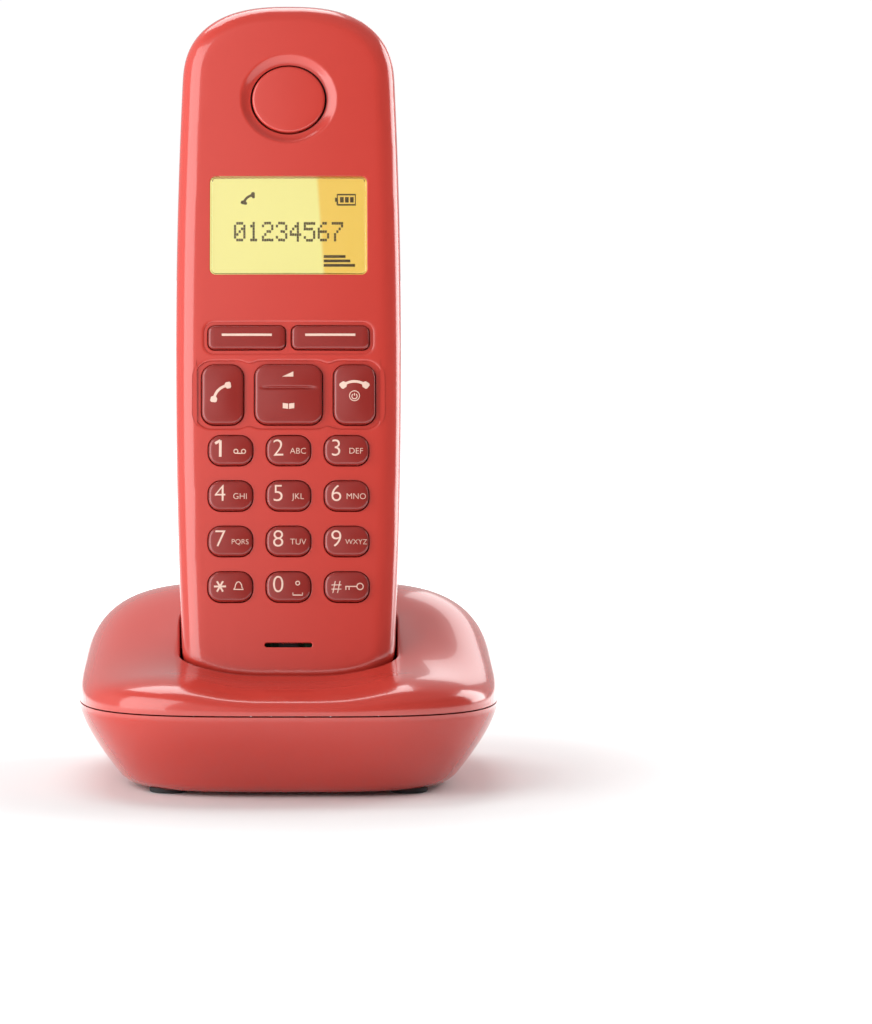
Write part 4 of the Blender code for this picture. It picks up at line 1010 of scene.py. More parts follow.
def keyTop(name, x, z):
    # depth of a key's top surface under a point; the middle stands as proud as the CAD key
    box = handsetBox(name)
    size, centre = span(box), middle(box)
    u = min(1.0, abs(x - centre.x) / (size.x / 2))
    v = min(1.0, abs(z - centre.z) / (size.z / 2))
    y = box[0].y + domeOf(name) * (1 - (1 - u * u) * (1 - v * v))
    if name == "navigation_key":
        # a shallow cross groove parts its two ends
        share = abs(z - centre.z - keyShape["grooveUp"]) / keyShape["grooveHeight"]
        fade = smoothStep((0.86 - u) / 0.25)
        y += keyShape["grooveDepth"] * exp(-share * share) * fade
    return y


def buildKey(name):
    box = handsetBox(name)
    size, centre = span(box), middle(box)
    corner = faceShape["softCorner"] if name in softKeys else faceShape["keyCorner"]
    edge = keyShape["edge"]
    sideSteps = 8

    def outline(inset, scale=1.0):
        points = roundedRectangle(size.x - 2 * inset, size.z - 2 * inset, corner - inset, 7, sideSteps)
        return [(centre.x + u * scale, centre.z + v * scale) for u, v in points]

    bm = bmesh.new()
    rings = [[(x, box[1].y, z) for x, z in outline(0.0)]]
    for step in range(keyShape["edgeSteps"] + 1):
        angle = pi / 2 * step / keyShape["edgeSteps"]
        inset = edge * (1 - cos(angle))
        drop = edge * (1 - sin(angle))
        rings.append([(x, keyTop(name, x, z) + drop, z) for x, z in outline(inset)])
    for ring in range(1, keyShape["domeRings"]):
        scale = 1 - ring / keyShape["domeRings"]
        rings.append([(x, keyTop(name, x, z), z) for x, z in outline(edge, scale)])
    rows = loft(bm, rings, closeFirst=True)
    hub = bm.verts.new((centre.x, keyTop(name, centre.x, centre.z), centre.z))
    last = rows[-1]
    for a, b in zip(last, last[1:] + last[:1]):
        bm.faces.new((a, b, hub))
    key = fromBmesh("cap_" + name, bm)
    if name == "navigation_key":
        refineGroove(key, centre.z + keyShape["grooveUp"])
    return settle(stand(key), name, keyRed, [name], 45.0)


def refineGroove(key, z):
    # extra rows of points where the groove is, so that it has a smooth bottom
    bm = bmesh.new()
    bm.from_mesh(key.data)
    box = handsetBox("navigation_key")
    for i in range(-6, 7):
        everything = bm.verts[:] + bm.edges[:] + bm.faces[:]
        level = z + i * keyShape["grooveHeight"] / 3
        bmesh.ops.bisect_plane(bm, geom=everything, dist=1e-7, plane_co=(0, 0, level), plane_no=(0, 0, 1))
    for vertex in bm.verts:
        edge = keyShape["edge"]
        inside = abs(vertex.co.x) < span(box).x / 2 - edge and vertex.co.y < 0
        if inside and abs(vertex.co.z - z) < keyShape["grooveHeight"] * 2.1:
            vertex.co.y = keyTop("navigation_key", vertex.co.x, vertex.co.z)
    bm.to_mesh(key.data)
    bm.free()


# marks are flat outlines (x, z) in metres, laid on a key afterwards

def textMesh(words, size):
    # generic print in the built-in letter, centred, as a flat mesh in x and z
    curve = bpy.data.curves.new(words, "FONT")
    curve.body = words
    curve.size = size
    curve.align_x = "CENTER"
    curve.align_y = "CENTER"
    curve.resolution_u = 6
    curve.offset = -size * 0.012
    writer = linked("writer", curve)
    graph = bpy.context.evaluated_depsgraph_get()
    mesh = bpy.data.meshes.new_from_object(writer.evaluated_get(graph))
    bpy.data.objects.remove(writer)
    mesh.transform(Matrix.Rotation(pi / 2, 4, "X"))
    return mesh


def ribbon(bm, line, widths):
    # a flat band along a line of (x, z), as wide as widths say at each point
    rows = []
    for i, (x, z) in enumerate(line):
        before, after = line[max(0, i - 1)], line[min(len(line) - 1, i + 1)]
        along = Vector((after[0] - before[0], after[1] - before[1])).normalized()
        half = widths[i] / 2
        rows.append((bm.verts.new((x - along.y * half, 0.0, z + along.x * half)),
                     bm.verts.new((x + along.y * half, 0.0, z - along.x * half))))
    for (a, b), (c, d) in zip(rows, rows[1:]):
        bm.faces.new((a, b, d, c))


def ring(bm, x, z, radius, width, start=0.0, end=360.0, steps=24):
    angles = [radians(start + (end - start) * i / steps) for i in range(steps + 1)]
    ribbon(bm, [(x + radius * cos(a), z + radius * sin(a)) for a in angles], [width] * (steps + 1))


def receiver(bm, x, z, width, turn, thick):
    # a telephone receiver: a bent bar with a fatter cup at each end
    steps = 30
    line, widths = [], []
    for i in range(steps + 1):
        s = i / steps * 2 - 1
        px, pz = s * width / 2, width * 0.20 * (1 - s * s)
        line.append((x + px * cos(turn) - pz * sin(turn), z + px * sin(turn) + pz * cos(turn)))
        cup = smoothStep((abs(s) - 0.58) / 0.12) * smoothStep((1.04 - abs(s)) / 0.10)
        widths.append(thick * (0.62 + 0.95 * cup))
    ribbon(bm, line, widths)


def bell(bm, x, z, size, line):
    profile = [(-0.50, -0.30), (-0.36, -0.16), (-0.30, 0.16), (-0.16, 0.40), (0.0, 0.47), (0.16, 0.40),
               (0.30, 0.16), (0.36, -0.16), (0.50, -0.30), (-0.50, -0.30)]
    ribbon(bm, [(x + u * size, z + v * size) for u, v in profile], [line] * len(profile))


def keyOutline(bm, x, z, size, line):
    # a small key: bow, stem and two teeth
    ring(bm, x + size * 0.42, z, size * 0.22, line)
    ribbon(bm, [(x + size * 0.20, z), (x - size * 0.60, z)], [line, line])
    for tooth in (0.34, 0.56):
        ribbon(bm, [(x - size * tooth, z), (x - size * tooth, z - size * 0.24)], [line, line])


def powerSign(bm, x, z, radius, line):
    ring(bm, x, z, radius, line, 125.0, 415.0)
    ribbon(bm, [(x, z + radius * 0.2), (x, z + radius * 1.25)], [line, line])


def addMesh(bm, mesh, x, z):
    mesh.transform(Matrix.Translation((x, 0.0, z)))
    bm.from_mesh(mesh)
    bpy.data.meshes.remove(mesh)


printShape = {
    "digitSize": 0.0051,
    "letterSize": 0.00178,
    "digitX": -0.00215,
    "digitZ": 0.0003,
    "letterX": 0.00190,
    "letterZ": -0.00025,
    "line": 0.00020,
    "receiverWidth": 0.0052,
    "receiverLine": 0.00088,
    "softMark": 0.0105,
    "softMarkUp": 0.0005,
    "softLine": 0.00050,
    "starReach": 0.00125,
    "starLine": 0.00036,
}

letterGroups = {
    "key_2": "ABC", "key_3": "DEF", "key_4": "GHI", "key_5": "JKL", "key_6": "MNO",
    "key_7": "PQRS", "key_8": "TUV", "key_9": "WXYZ",
}


def drawPrint(bm, name, x, z):
    # everything printed on one key, about its middle
    size = printShape
    thin = size["line"]
    if name in softKeys:
        half = size["softMark"] / 2
        z += size["softMarkUp"]
        ribbon(bm, [(x - half, z), (x + half, z)], [size["softLine"]] * 2)
    elif name == "talk_key":
        receiver(bm, x - 0.00010, z + 0.0001, size["receiverWidth"], radians(45.0), size["receiverLine"])
    elif name == "end_key":
        receiver(bm, x, z + 0.0015, size["receiverWidth"] * 1.12, 0.0, size["receiverLine"])
        ring(bm, x, z - 0.0004, 0.00105, thin * 0.8)
        powerSign(bm, x, z - 0.0005, 0.00055, thin * 0.9)
    elif name == "navigation_key":
        # a rising wedge for loudness above the groove, an open book below it
        low = z + 0.00375
        bm.faces.new([bm.verts.new((x + u, 0.0, low + v)) for u, v in
                      ((-0.0013, -0.0001), (0.0010, -0.0001), (0.0010, 0.0010))])
        for side in (-1, 1):
            corners = ((0.00010, -0.00062), (0.00120, -0.00048), (0.00120, 0.00062), (0.00010, 0.00048))
            bm.faces.new([bm.verts.new((x + side * u, 0.0, z - 0.0026 + v)) for u, v in corners][::side])
    elif name == "key_star":
        for turn in (0.0, 60.0, 120.0):
            reach = Vector((cos(radians(turn)), sin(radians(turn)))) * size["starReach"]
            starX = x + size["digitX"]
            stroke = [(starX - reach.x, z - reach.y), (starX + reach.x, z + reach.y)]
            ribbon(bm, stroke, [size["starLine"]] * 2)
        bell(bm, x + 0.0017, z, 0.0021, thin)
    elif name == "key_hash":
        addMesh(bm, textMesh("#", size["digitSize"] * 0.72), x + size["digitX"], z)
        keyOutline(bm, x + 0.0015, z, 0.0030, thin)
    else:
        digit = name.split("_")[1]
        left, half = x + size["digitX"], size["digitSize"] * 0.34
        if digit == "1":
            stroke = size["digitSize"] * 0.105
            flag = [(left - half * 0.62, z + half * 0.62 + size["digitZ"]), (left, z + half + size["digitZ"])]
            ribbon(bm, flag, [stroke, stroke])
            stem = [(left, z + half + size["digitZ"]), (left, z - half + size["digitZ"])]
            ribbon(bm, stem, [stroke, stroke])
        else:
            addMesh(bm, textMesh(digit, size["digitSize"]), left, z + size["digitZ"])
        right = x + size["letterX"]
        if digit == "1":
            # two reels of a message tape
            for side in (-1, 1):
                ring(bm, right + side * 0.0008, z - 0.0003, 0.00042, thin)
            ribbon(bm, [(right - 0.0008, z - 0.00072), (right + 0.0008, z - 0.00072)], [thin, thin])
        elif digit == "0":
            tray = [(-0.0010, -0.0013), (-0.0010, -0.0018), (0.0010, -0.0018), (0.0010, -0.0013)]
            ribbon(bm, [(right + u, z + v) for u, v in tray], [thin] * 4)
            ring(bm, right, z + 0.0007, 0.00040, thin)
        else:
            letters = letterGroups[name]
            shrink = 0.86 if len(letters) == 4 else 1.0
            addMesh(bm, textMesh(letters, size["letterSize"] * shrink), right + 0.0001, z + size["letterZ"])


def layOn(bm, depthAt, step=None):
    # gives flat marks a little thickness and lays them on a surface, in small squares where it is domed
    bmesh.ops.triangulate(bm, faces=bm.faces[:])
    for axis, normal in ((0, (1, 0, 0)), (2, (0, 0, 1))) if step else ():
        low = min(vertex.co[axis] for vertex in bm.verts)
        high = max(vertex.co[axis] for vertex in bm.verts)
        for i in range(1, int((high - low) / step) + 1):
            where = [0.0, 0.0, 0.0]
            where[axis] = low + i * step
            everything = bm.verts[:] + bm.edges[:] + bm.faces[:]
            bmesh.ops.bisect_plane(bm, geom=everything, dist=1e-8, plane_co=where, plane_no=normal)
    for face in bm.faces:
        face.normal_update()
        if face.normal.y > 0:
            face.normal_flip()
    made = bmesh.ops.extrude_face_region(bm, geom=bm.faces[:])
    for part in made["geom"]:
        if isinstance(part, bmesh.types.BMVert):
            part.co.y -= keyShape["printThickness"]
    for vertex in bm.verts:
        depth = depthAt(vertex.co.x, vertex.co.z)
        vertex.co.y += depth - keyShape["printLift"] + keyShape["printThickness"] / 2


def buildPrint(name):
    bm = bmesh.new()
    centre = middle(handsetBox(name))
    drawPrint(bm, name, centre.x, centre.z)
    layOn(bm, lambda x, z: keyTop(name, x, z), keyShape["printStep"])
    return settle(stand(fromBmesh("print_" + name, bm)), name, printCream, angle=60.0)


for name in digitKeys + softKeys + functionKeys:
    buildKey(name)
    buildPrint(name)
print("keys and their print made")


def buildEarDisc():
    box = handsetBox("earpiece_disc")
    size, centre = span(box), middle(box)
    edge, dome = 0.0005, 0.00010
    bm = bmesh.new()
    rings = [[(x, box[1].y, z) for x, z in ellipse(size.x, size.z, 96, (0.0, centre.z))]]
    for step in range(7):
        angle = pi / 2 * step / 6
        inset = edge * (1 - cos(angle))
        y = box[0].y + dome + edge * (1 - sin(angle))
        outline = ellipse(size.x - 2 * inset, size.z - 2 * inset, 96, (0.0, centre.z))
        rings.append([(x, y, z) for x, z in outline])
    for step in range(1, 8):
        scale = 1 - step / 8
        outline = ellipse((size.x - 2 * edge) * scale, (size.z - 2 * edge) * scale, 96, (0.0, centre.z))
        rings.append([(x, box[0].y + dome * scale * scale, z) for x, z in outline])
    loft(bm, rings, True, True)
    disc = crownMesh(fromBmesh("earDisc", bm))
    return settle(stand(disc), "handset", caseRed, ["earpiece_disc"])


displayShape = {
    "dotPitchX": 0.00049,
    "dotPitchZ": 0.00060,
    "dotShare": 0.93,
    "nameZ": -0.0011,
    "signalX": -0.0083,
    "batteryX": 0.0121,
    "topIcons": 0.0058,
    "menuX": 0.0106,
    "menuZ": -0.0074,
    "edge": 0.0003,
}

# generic figures, five dots wide and seven high
dotFigures = {
    "0": ("01110", "10001", "10011", "10101", "11001", "10001", "01110"),
    "1": ("00100", "01100", "00100", "00100", "00100", "00100", "01110"),
    "2": ("01110", "10001", "00001", "00110", "01000", "10000", "11111"),
    "3": ("01110", "10001", "00001", "00110", "00001", "10001", "01110"),
    "4": ("00010", "00110", "01010", "10010", "11111", "00010", "00010"),
    "5": ("11111", "10000", "11110", "00001", "00001", "10001", "01110"),
    "6": ("00110", "01000", "10000", "11110", "10001", "10001", "01110"),
    "7": ("11111", "00001", "00010", "00100", "01000", "01000", "01000"),
}


def dotPlaces(figures, centreX, centreZ, pitchX, pitchZ):
    # where the lit dots of a row of figures are
    columns = len(figures) * 6 - 1
    places = []
    for number, figure in enumerate(figures):
        for row, bits in enumerate(dotFigures[figure]):
            for column, bit in enumerate(bits):
                if bit == "1":
                    x = centreX + (number * 6 + column - (columns - 1) / 2) * pitchX
                    places.append((x, 0.0, centreZ + (3 - row) * pitchZ))
    return places


def dotTree():
    # a square dot on every point it is given
    net, given = geometryTree("displayDots", {
        "Points": "Geometry", "Width": "Float", "Height": "Float", "Thickness": "Float", "Finish": "Material",
    })
    size = vectorOf(net, given["Width"], given["Thickness"], given["Height"])
    square = net.add("GeometryNodeMeshCube", {}, {"Size": size})
    dots = net.add("GeometryNodeInstanceOnPoints", {}, {"Points": given["Points"], "Instance": square})
    closeTree(net, dots, given["Finish"])
    return net.tree


def buildDisplay():
    panel = handsetBox("lcd_panel")
    window = handsetBox("display_window")
    centre = middle(window)
    look = displayShape

    points = bpy.data.meshes.new("dotPoints")
    places = dotPlaces("01234567", 0.0, centre.z + look["nameZ"], look["dotPitchX"], look["dotPitchZ"])
    points.from_pydata(places, [], [])
    dots = growTree(dotTree(), "dots", {
        "Width": look["dotPitchX"] * look["dotShare"], "Height": look["dotPitchZ"] * look["dotShare"],
        "Thickness": 0.00008, "Finish": lcdInk,
    }, points)
    dots.data.transform(Matrix.Translation((0.0, panel[0].y - 0.00003, 0.0)))

    bm = bmesh.new()
    topZ = centre.z + look["topIcons"]
    receiver(bm, look["signalX"], topZ, 0.0031, radians(40.0), 0.00085)
    left, right = look["batteryX"] - 0.0018, look["batteryX"] + 0.0020
    half = 0.0011
    ribbon(bm, [(left, topZ - half), (right, topZ - half), (right, topZ + half), (left, topZ + half),
                (left, topZ - half)], [0.00038] * 5)
    ribbon(bm, [(left - 0.0005, topZ), (left - 0.0001, topZ)], [0.0009, 0.0009])
    for cell in range(3):
        x = right - 0.00075 - cell * 0.00105
        ribbon(bm, [(x, topZ - 0.0006), (x, topZ + 0.0006)], [0.00078, 0.00078])
    for line in range(3):
        # three short bars stand for the list of choices
        z = centre.z + look["menuZ"] + (line - 1) * 0.00095
        start, end = look["menuX"] - 0.0032, look["menuX"] + 0.0034 - line * 0.0010
        ribbon(bm, [(start, z), (end, z)], [0.0006, 0.0006])
    layOn(bm, lambda x, z: panel[0].y)
    icons = fromBmesh("icons", bm)
    ink = joined("displayInk", dots, icons)
    settle(stand(ink), "handset", lcdInk, angle=60.0)

    size = span(window)
    bm = bmesh.new()
    edge = look["edge"]
    rings = []
    for y, inset in ((window[1].y, edge), (window[1].y - edge, 0.0), (window[0].y + edge, 0.0)):
        rings.append([(x, y, z) for x, z in roundedRectangle(size.x - 2 * inset, size.z - 2 * inset,
                                                             0.0009 - inset * 0.5, 5, 24, (0.0, centre.z))])
    for step in range(1, 4):
        angle = pi / 2 * step / 3
        inset = edge * (1 - cos(angle))
        rings.append([(x, window[0].y + edge * (1 - sin(angle)), z) for x, z in
                      roundedRectangle(size.x - 2 * inset, size.z - 2 * inset, 0.0009 - inset * 0.5, 5, 24,
                                       (0.0, centre.z))])
    loft(bm, rings, True, True)
    glass = crownMesh(fromBmesh("window", bm), faceShape["stripWidth"])
    settle(stand(glass), "handset", windowClear, ["display_window"])


buildEarDisc()
buildDisplay()
print("earpiece and display made")


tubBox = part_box("base_bottom_shell")

baseShape = {
    "gap": caseShape["gap"],
    "halfWidth": tubBox[1].x,
    "halfDepth": tubBox[1].y,
    "coverLow": tubBox[1].z + caseShape["gap"],
    "jointHigh": tubBox[1].z,
    "underside": tubBox[0].z,
    "wall": 0.0020,
    "planPower": 3.5,
    "rimBand": 0.0008,
    "frontTop": 0.0233,
    "backTop": 0.0395,
    "noseFlat": 0.0130,
    "backFlat": 0.0170,
    "lipScoop": 0.0030,
    "scoopWidth": 0.0190,
    "scoopPower": 4,
    "crownPower": 5.0,
    "crownRoot": 0.4,
    "taper": 0.22,
    "taperPower": 1.35,
    "fillet": 0.0020,
    "sides": 192,
}

pocketShape = {
    "gap": 0.0005,
    "rimRadius": 0.0006,
    "rimSteps": 6,
    "wallRows": 6,
    "floorRadius": 0.0012,
    "slotWidth": 0.0039,
    "slotDepth": 0.0023,
}


def planReach(angle):
    # how far the soft square of the base reaches from its middle in a direction
    power = baseShape["planPower"]
    along = abs(cos(angle)) / baseShape["halfWidth"]
    across = abs(sin(angle)) / baseShape["halfDepth"]
    return (along ** power + across ** power) ** (-1 / power)


def crownHeight(x, y):
    shape = baseShape
    power = shape["planPower"]
    scale = ((abs(x) / shape["halfWidth"]) ** power + (abs(y) / shape["halfDepth"]) ** power) ** (1 / power)
    root = shape["coverLow"] - shape["gap"] / 2 + shape["rimBand"]
    run = 2 * shape["halfDepth"] - shape["noseFlat"] - shape["backFlat"]
    climb = smoothStep((y + shape["halfDepth"] - shape["noseFlat"]) / run)
    scoop = shape["lipScoop"] * (1 - climb) * (1 - exp(-(x / shape["scoopWidth"]) ** shape["scoopPower"]))
    full = shape["frontTop"] + (shape["backTop"] - shape["frontTop"]) * climb + scoop
    fall = max(0.0, 1 - scale ** shape["crownPower"]) ** shape["crownRoot"]
    return root + (full - root) * fall


def pocketReach(angle, grow, height):
    # the same for the handset's cross-section at a height, with room round it, in the handset's x and y
    c, s = abs(cos(angle)), abs(sin(angle))
    halfX = halfWidthAt(max(height, 0.0), 0.0) + grow
    halfY = caseShape["depth"] / 2 + grow
    radius = (caseShape["backEdge"] if sin(angle) > 0 else caseShape["frontEdge"]) + grow
    reach = min(halfX / max(c, 1e-9), halfY / max(s, 1e-9))
    cornerX, cornerY = halfX - radius, halfY - radius
    if reach * c > cornerX and reach * s > cornerY:
        along = cornerX * c + cornerY * s
        reach = along + sqrt(along ** 2 - cornerX ** 2 - cornerY ** 2 + radius ** 2)
    return reach


def pocketPoint(angle, grow, height):
    # a point of the pocket's outline at a height, where the handset stands
    reach = pocketReach(angle, grow, height)
    return handsetPlace @ Vector((reach * cos(angle), caseShape["depth"] / 2 + reach * sin(angle), height))


def heightOnCrown(angle, grow):
    # how far up the handset's long axis the pocket's outline meets the crown
    height = baseShape["frontTop"] * 0.6
    for _ in range(30):
        point = pocketPoint(angle, grow, height)
        height += (crownHeight(point.x, point.y) - point.z) * 0.8
    return height


def pocketAngles():
    count = baseShape["sides"]
    return [2 * pi * (i + 0.5) / count for i in range(count)]


def buildTopCover():
    shape, pocket = baseShape, pocketShape
    angles = pocketAngles()
    radius = pocket["rimRadius"]
    bottom = shape["coverLow"]
    rings = []

    def planRing(scale):
        ring = []
        for angle in angles:
            reach = planReach(angle) * scale
            ring.append((reach * cos(angle), reach * sin(angle)))
        return ring

    rings.append([(x, y, bottom) for x, y in planRing(1.0)])
    scales = [1 - 0.15 * (step / 14) ** 2.4 for step in range(15)]
    for scale in scales:
        rings.append([(x, y, crownHeight(x, y)) for x, y in planRing(scale)])

    tops = [heightOnCrown(angle, pocket["gap"] + radius) for angle in angles]
    rim = [pocketPoint(angle, pocket["gap"] + radius, top) for angle, top in zip(angles, tops)]
    inner = planRing(scales[-1])
    rows = 14
    for row in range(1, rows + 1):
        share = row / rows
        ring = []
        for (x, y), point in zip(inner, rim):
            px, py = x + (point.x - x) * share, y + (point.y - y) * share
            ring.append((px, py, crownHeight(px, py)))
        rings.append(ring)

    # over the rim, down the pocket's wall, round into its floor
    floorZ = -pocket["gap"]
    for step in range(1, pocket["rimSteps"] + 1):
        turn = pi / 2 * step / pocket["rimSteps"]
        grow = pocket["gap"] + radius * (1 - sin(turn))
        drop = radius * (1 - cos(turn))
        rings.append([pocketPoint(angle, grow, top - drop) for angle, top in zip(angles, tops)])
    corner = pocket["floorRadius"]
    for row in range(1, pocket["wallRows"] + 1):
        ring = []
        for angle, top in zip(angles, tops):
            start = top - radius
            height = start + (floorZ + corner - start) * row / pocket["wallRows"]
            ring.append(pocketPoint(angle, pocket["gap"], height))
        rings.append(ring)
    for step in range(1, 6):
        turn = pi / 2 * step / 5
        grow = pocket["gap"] - corner * (1 - cos(turn))
        height = floorZ + corner * (1 - sin(turn))
        rings.append([pocketPoint(angle, grow, height) for angle in angles])

    bm = bmesh.new()
    made = loft(bm, rings)
    loops = [made[-1]]
    for name in ("charge_contact_left", "charge_contact_right"):
        place = middle(handsetBox(name))
        outline = roundedRectangle(pocket["slotWidth"], pocket["slotDepth"], 0.0005, 4, 1, (place.x, place.y))
        loops.append([bm.verts.new(handsetPlace @ Vector((u, v, floorZ))) for u, v in outline])
    fillBetween(bm, *loops)
    cover = thicken(fromBmesh("topCover", bm), shape["wall"] * 0.7, False)
    return settle(cover, "base", caseRed, ["base_top_cover"], 40.0)


def tubTree():
    # the lower shell: a soft square that narrows downwards and rounds into its flat underside
    net, given = geometryTree("lowerShell", {
        "Sides": "Int", "Rows": "Int", "Half Width": "Float", "Half Depth": "Float", "Top": "Float",
        "Bottom": "Float", "Squareness": "Float", "Taper": "Float", "Taper Power": "Float", "Fillet": "Float",
        "Band": "Float", "Finish": "Material",
    })
    tube = net.add("GeometryNodeMeshCylinder", {"fill_type": "NGON"}, {
        "Vertices": given["Sides"], "Side Segments": given["Rows"], "Radius": 1.0, "Depth": 1.0,
    })
    apart = net.add("ShaderNodeSeparateXYZ", {}, {0: net.add("GeometryNodeInputPosition")})
    angle = net.maths("ARCTAN2", apart.out("Y"), apart.out("X"))
    share = 0.5 - apart.out("Z")
    height = given["Top"] - share * (given["Top"] - given["Bottom"])

    tall = given["Top"] - given["Band"] - given["Bottom"]
    down = net.maths("MAXIMUM", (given["Top"] - given["Band"] - height) / tall, 0.0)
    intoFillet = net.maths("MAXIMUM", given["Fillet"] - (height - given["Bottom"]), 0.0)
    chord = net.maths("SQRT", net.maths("MAXIMUM", given["Fillet"] ** 2.0 - intoFillet ** 2.0, 0.0))
    inset = given["Fillet"] - chord
    scale = 1.0 - given["Taper"] * down ** given["Taper Power"] - inset / given["Half Width"]

    power = given["Squareness"]
    along = net.maths("ABSOLUTE", net.maths("COSINE", angle)) / given["Half Width"]
    across = net.maths("ABSOLUTE", net.maths("SINE", angle)) / given["Half Depth"]
    reach = (along ** power + across ** power) ** (-1.0 / power) * scale
    place = vectorOf(net, reach * net.maths("COSINE", angle), reach * net.maths("SINE", angle), height)
    shaped = net.add("GeometryNodeSetPosition", {}, {"Geometry": tube.out("Mesh"), "Position": place})
    closeTree(net, shaped, given["Finish"])
    return net.tree


def upright(name, outline, low, high):
    bm = bmesh.new()
    loft(bm, [[(x, y, z) for x, y in outline] for z in (low, high)], True, True)
    return fromBmesh(name, bm)


def buildLowerShell():
    shape = baseShape
    tub = growTree(tubTree(), "lowerShell", {
        "Sides": shape["sides"], "Rows": 56,
        "Half Width": shape["halfWidth"], "Half Depth": shape["halfDepth"],
        "Top": shape["jointHigh"], "Bottom": shape["underside"], "Squareness": shape["planPower"],
        "Taper": shape["taper"], "Taper Power": shape["taperPower"], "Fillet": shape["fillet"],
        "Band": shape["rimBand"], "Finish": caseRed,
    })
    bm = bmesh.new()
    bm.from_mesh(tub.data)
    lid = [face for face in bm.faces if face.normal.z > 0.9 and len(face.verts) > 8]
    bmesh.ops.delete(bm, geom=lid, context="FACES")
    bm.to_mesh(tub.data)
    bm.free()
    shell = thicken(tub, shape["wall"])

    gap = shape["gap"]
    tools = []
    for name in ("line_socket", "power_socket"):
        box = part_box(name)
        size, centre = span(box), middle(box)
        outline = roundedRectangle(size.x + 2 * gap, size.z + 2 * gap, 0.0006, 4, 1, (centre.x, centre.z))
        tools.append(faceCut(name, outline, box[0].y, shape["halfDepth"] + gap))
    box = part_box("page_key")
    size, centre = span(box), middle(box)
    outline = roundedRectangle(size.x + 2 * gap, size.z + 2 * gap, (size.z + 2 * gap) * 0.49, 12, 1,
                               (centre.x, centre.z))
    tools.append(faceCut("pageHole", outline, box[0].y, shape["halfDepth"] + gap))
    for name in feet:
        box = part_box(name)
        hole = ellipse(span(box).x + 2 * gap, span(box).y + 2 * gap, 48, middle(box)[:2])
        tools.append(upright("footHole", hole, -gap, box[1].z + gap))
    for name in ("base_screw_left", "base_screw_right"):
        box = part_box(name)
        head = ellipse(span(box).x + 2 * gap, span(box).y + 2 * gap, 40, middle(box)[:2])
        tools.append(upright("screwHole", head, -gap, shape["underside"] + 0.0014))
        shank = ellipse(span(box).x * 0.6, span(box).y * 0.6, 32, middle(box)[:2])
        tools.append(upright("shankHole", shank, -gap, shape["underside"] + 2 * shape["wall"]))
    cut(shell, "DIFFERENCE", *tools)
    return settle(shell, "base", caseRed, ["base_bottom_shell"])


feet = ["foot_front_left", "foot_front_right", "foot_back_left", "foot_back_right"]
buildTopCover()
buildLowerShell()
print("base made")


# batteries, springs, screws and contacts
cellShape = {
    "edge": 0.0007,
    "nubRadius": 0.0019,
    "nubHeight": 0.0009,
    "nubEdge": 0.0003,
    "steps": 64,
}


def buildCell(name, pieceName, upwards):
    box = handsetBox(name)
    size, centre = span(box), middle(box)
    look = cellShape
    radius, length = size.x / 2, size.z
    edge, nub, nubEdge = look["edge"], look["nubRadius"], look["nubEdge"]
    shoulder = length - look["nubHeight"]
    profile = [(0.0004, 0.0), (radius - edge * 1.4, 0.0), (radius - edge * 1.3, 0.00015)]
    for step in range(5):
        angle = pi / 2 * step / 4
        profile.append((radius - edge + edge * sin(angle), 0.0001 + edge * (1 - cos(angle))))
    for step in range(5):
        angle = pi / 2 * step / 4
        profile.append((radius - edge + edge * cos(angle), shoulder - edge + edge * sin(angle)))
    shelf = shoulder - 0.0002
    profile += [(radius - edge * 1.5, shoulder), (radius - edge * 1.6, shelf), (nub + 0.0004, shelf),
                (nub, shoulder - 0.0001)]
    for step in range(4):
        angle = pi / 2 * step / 3
        profile.append((nub - nubEdge + nubEdge * cos(angle), length - nubEdge + nubEdge * sin(angle)))
    profile.append((0.0004, length))
    place = Matrix.Translation((centre.x, centre.y, box[0].z))
    if not upwards:
        place = Matrix.Translation((centre.x, centre.y, box[1].z)) @ Matrix.Rotation(pi, 4, "X")
    bm = bmesh.new()
    lathe(bm, profile, look["steps"], place)
    return settle(stand(fromBmesh(pieceName, bm)), "handset", sleeveGreen, [name])


def springTree():
    # a conical compression spring with a flat closing turn at its wide end
    net, given = geometryTree("batterySpring", {
        "Turns": "Float", "Wide": "Float", "Narrow": "Float", "Height": "Float", "Wire": "Float",
        "Finish": "Material",
    })
    spiral = net.add("GeometryNodeCurveSpiral", {}, {
        "Resolution": 40, "Rotations": given["Turns"], "Start Radius": given["Wide"],
        "End Radius": given["Narrow"], "Height": given["Height"],
    })
    flat = net.add("GeometryNodeCurveSpiral", {}, {
        "Resolution": 40, "Rotations": 1.0, "Start Radius": given["Wide"], "End Radius": given["Wide"],
        "Height": 0.0,
    })
    profile = net.add("GeometryNodeCurvePrimitiveCircle", {"mode": "RADIUS"}, {
        "Resolution": 12, "Radius": given["Wire"] * 0.5,
    })
    bars = []
    for rail in (spiral, flat):
        bars.append(net.add("GeometryNodeCurveToMesh", {}, {
            "Curve": rail, "Profile Curve": profile, "Fill Caps": True,
        }))
    closeTree(net, joinAll(net, *bars), given["Finish"])
    return net.tree


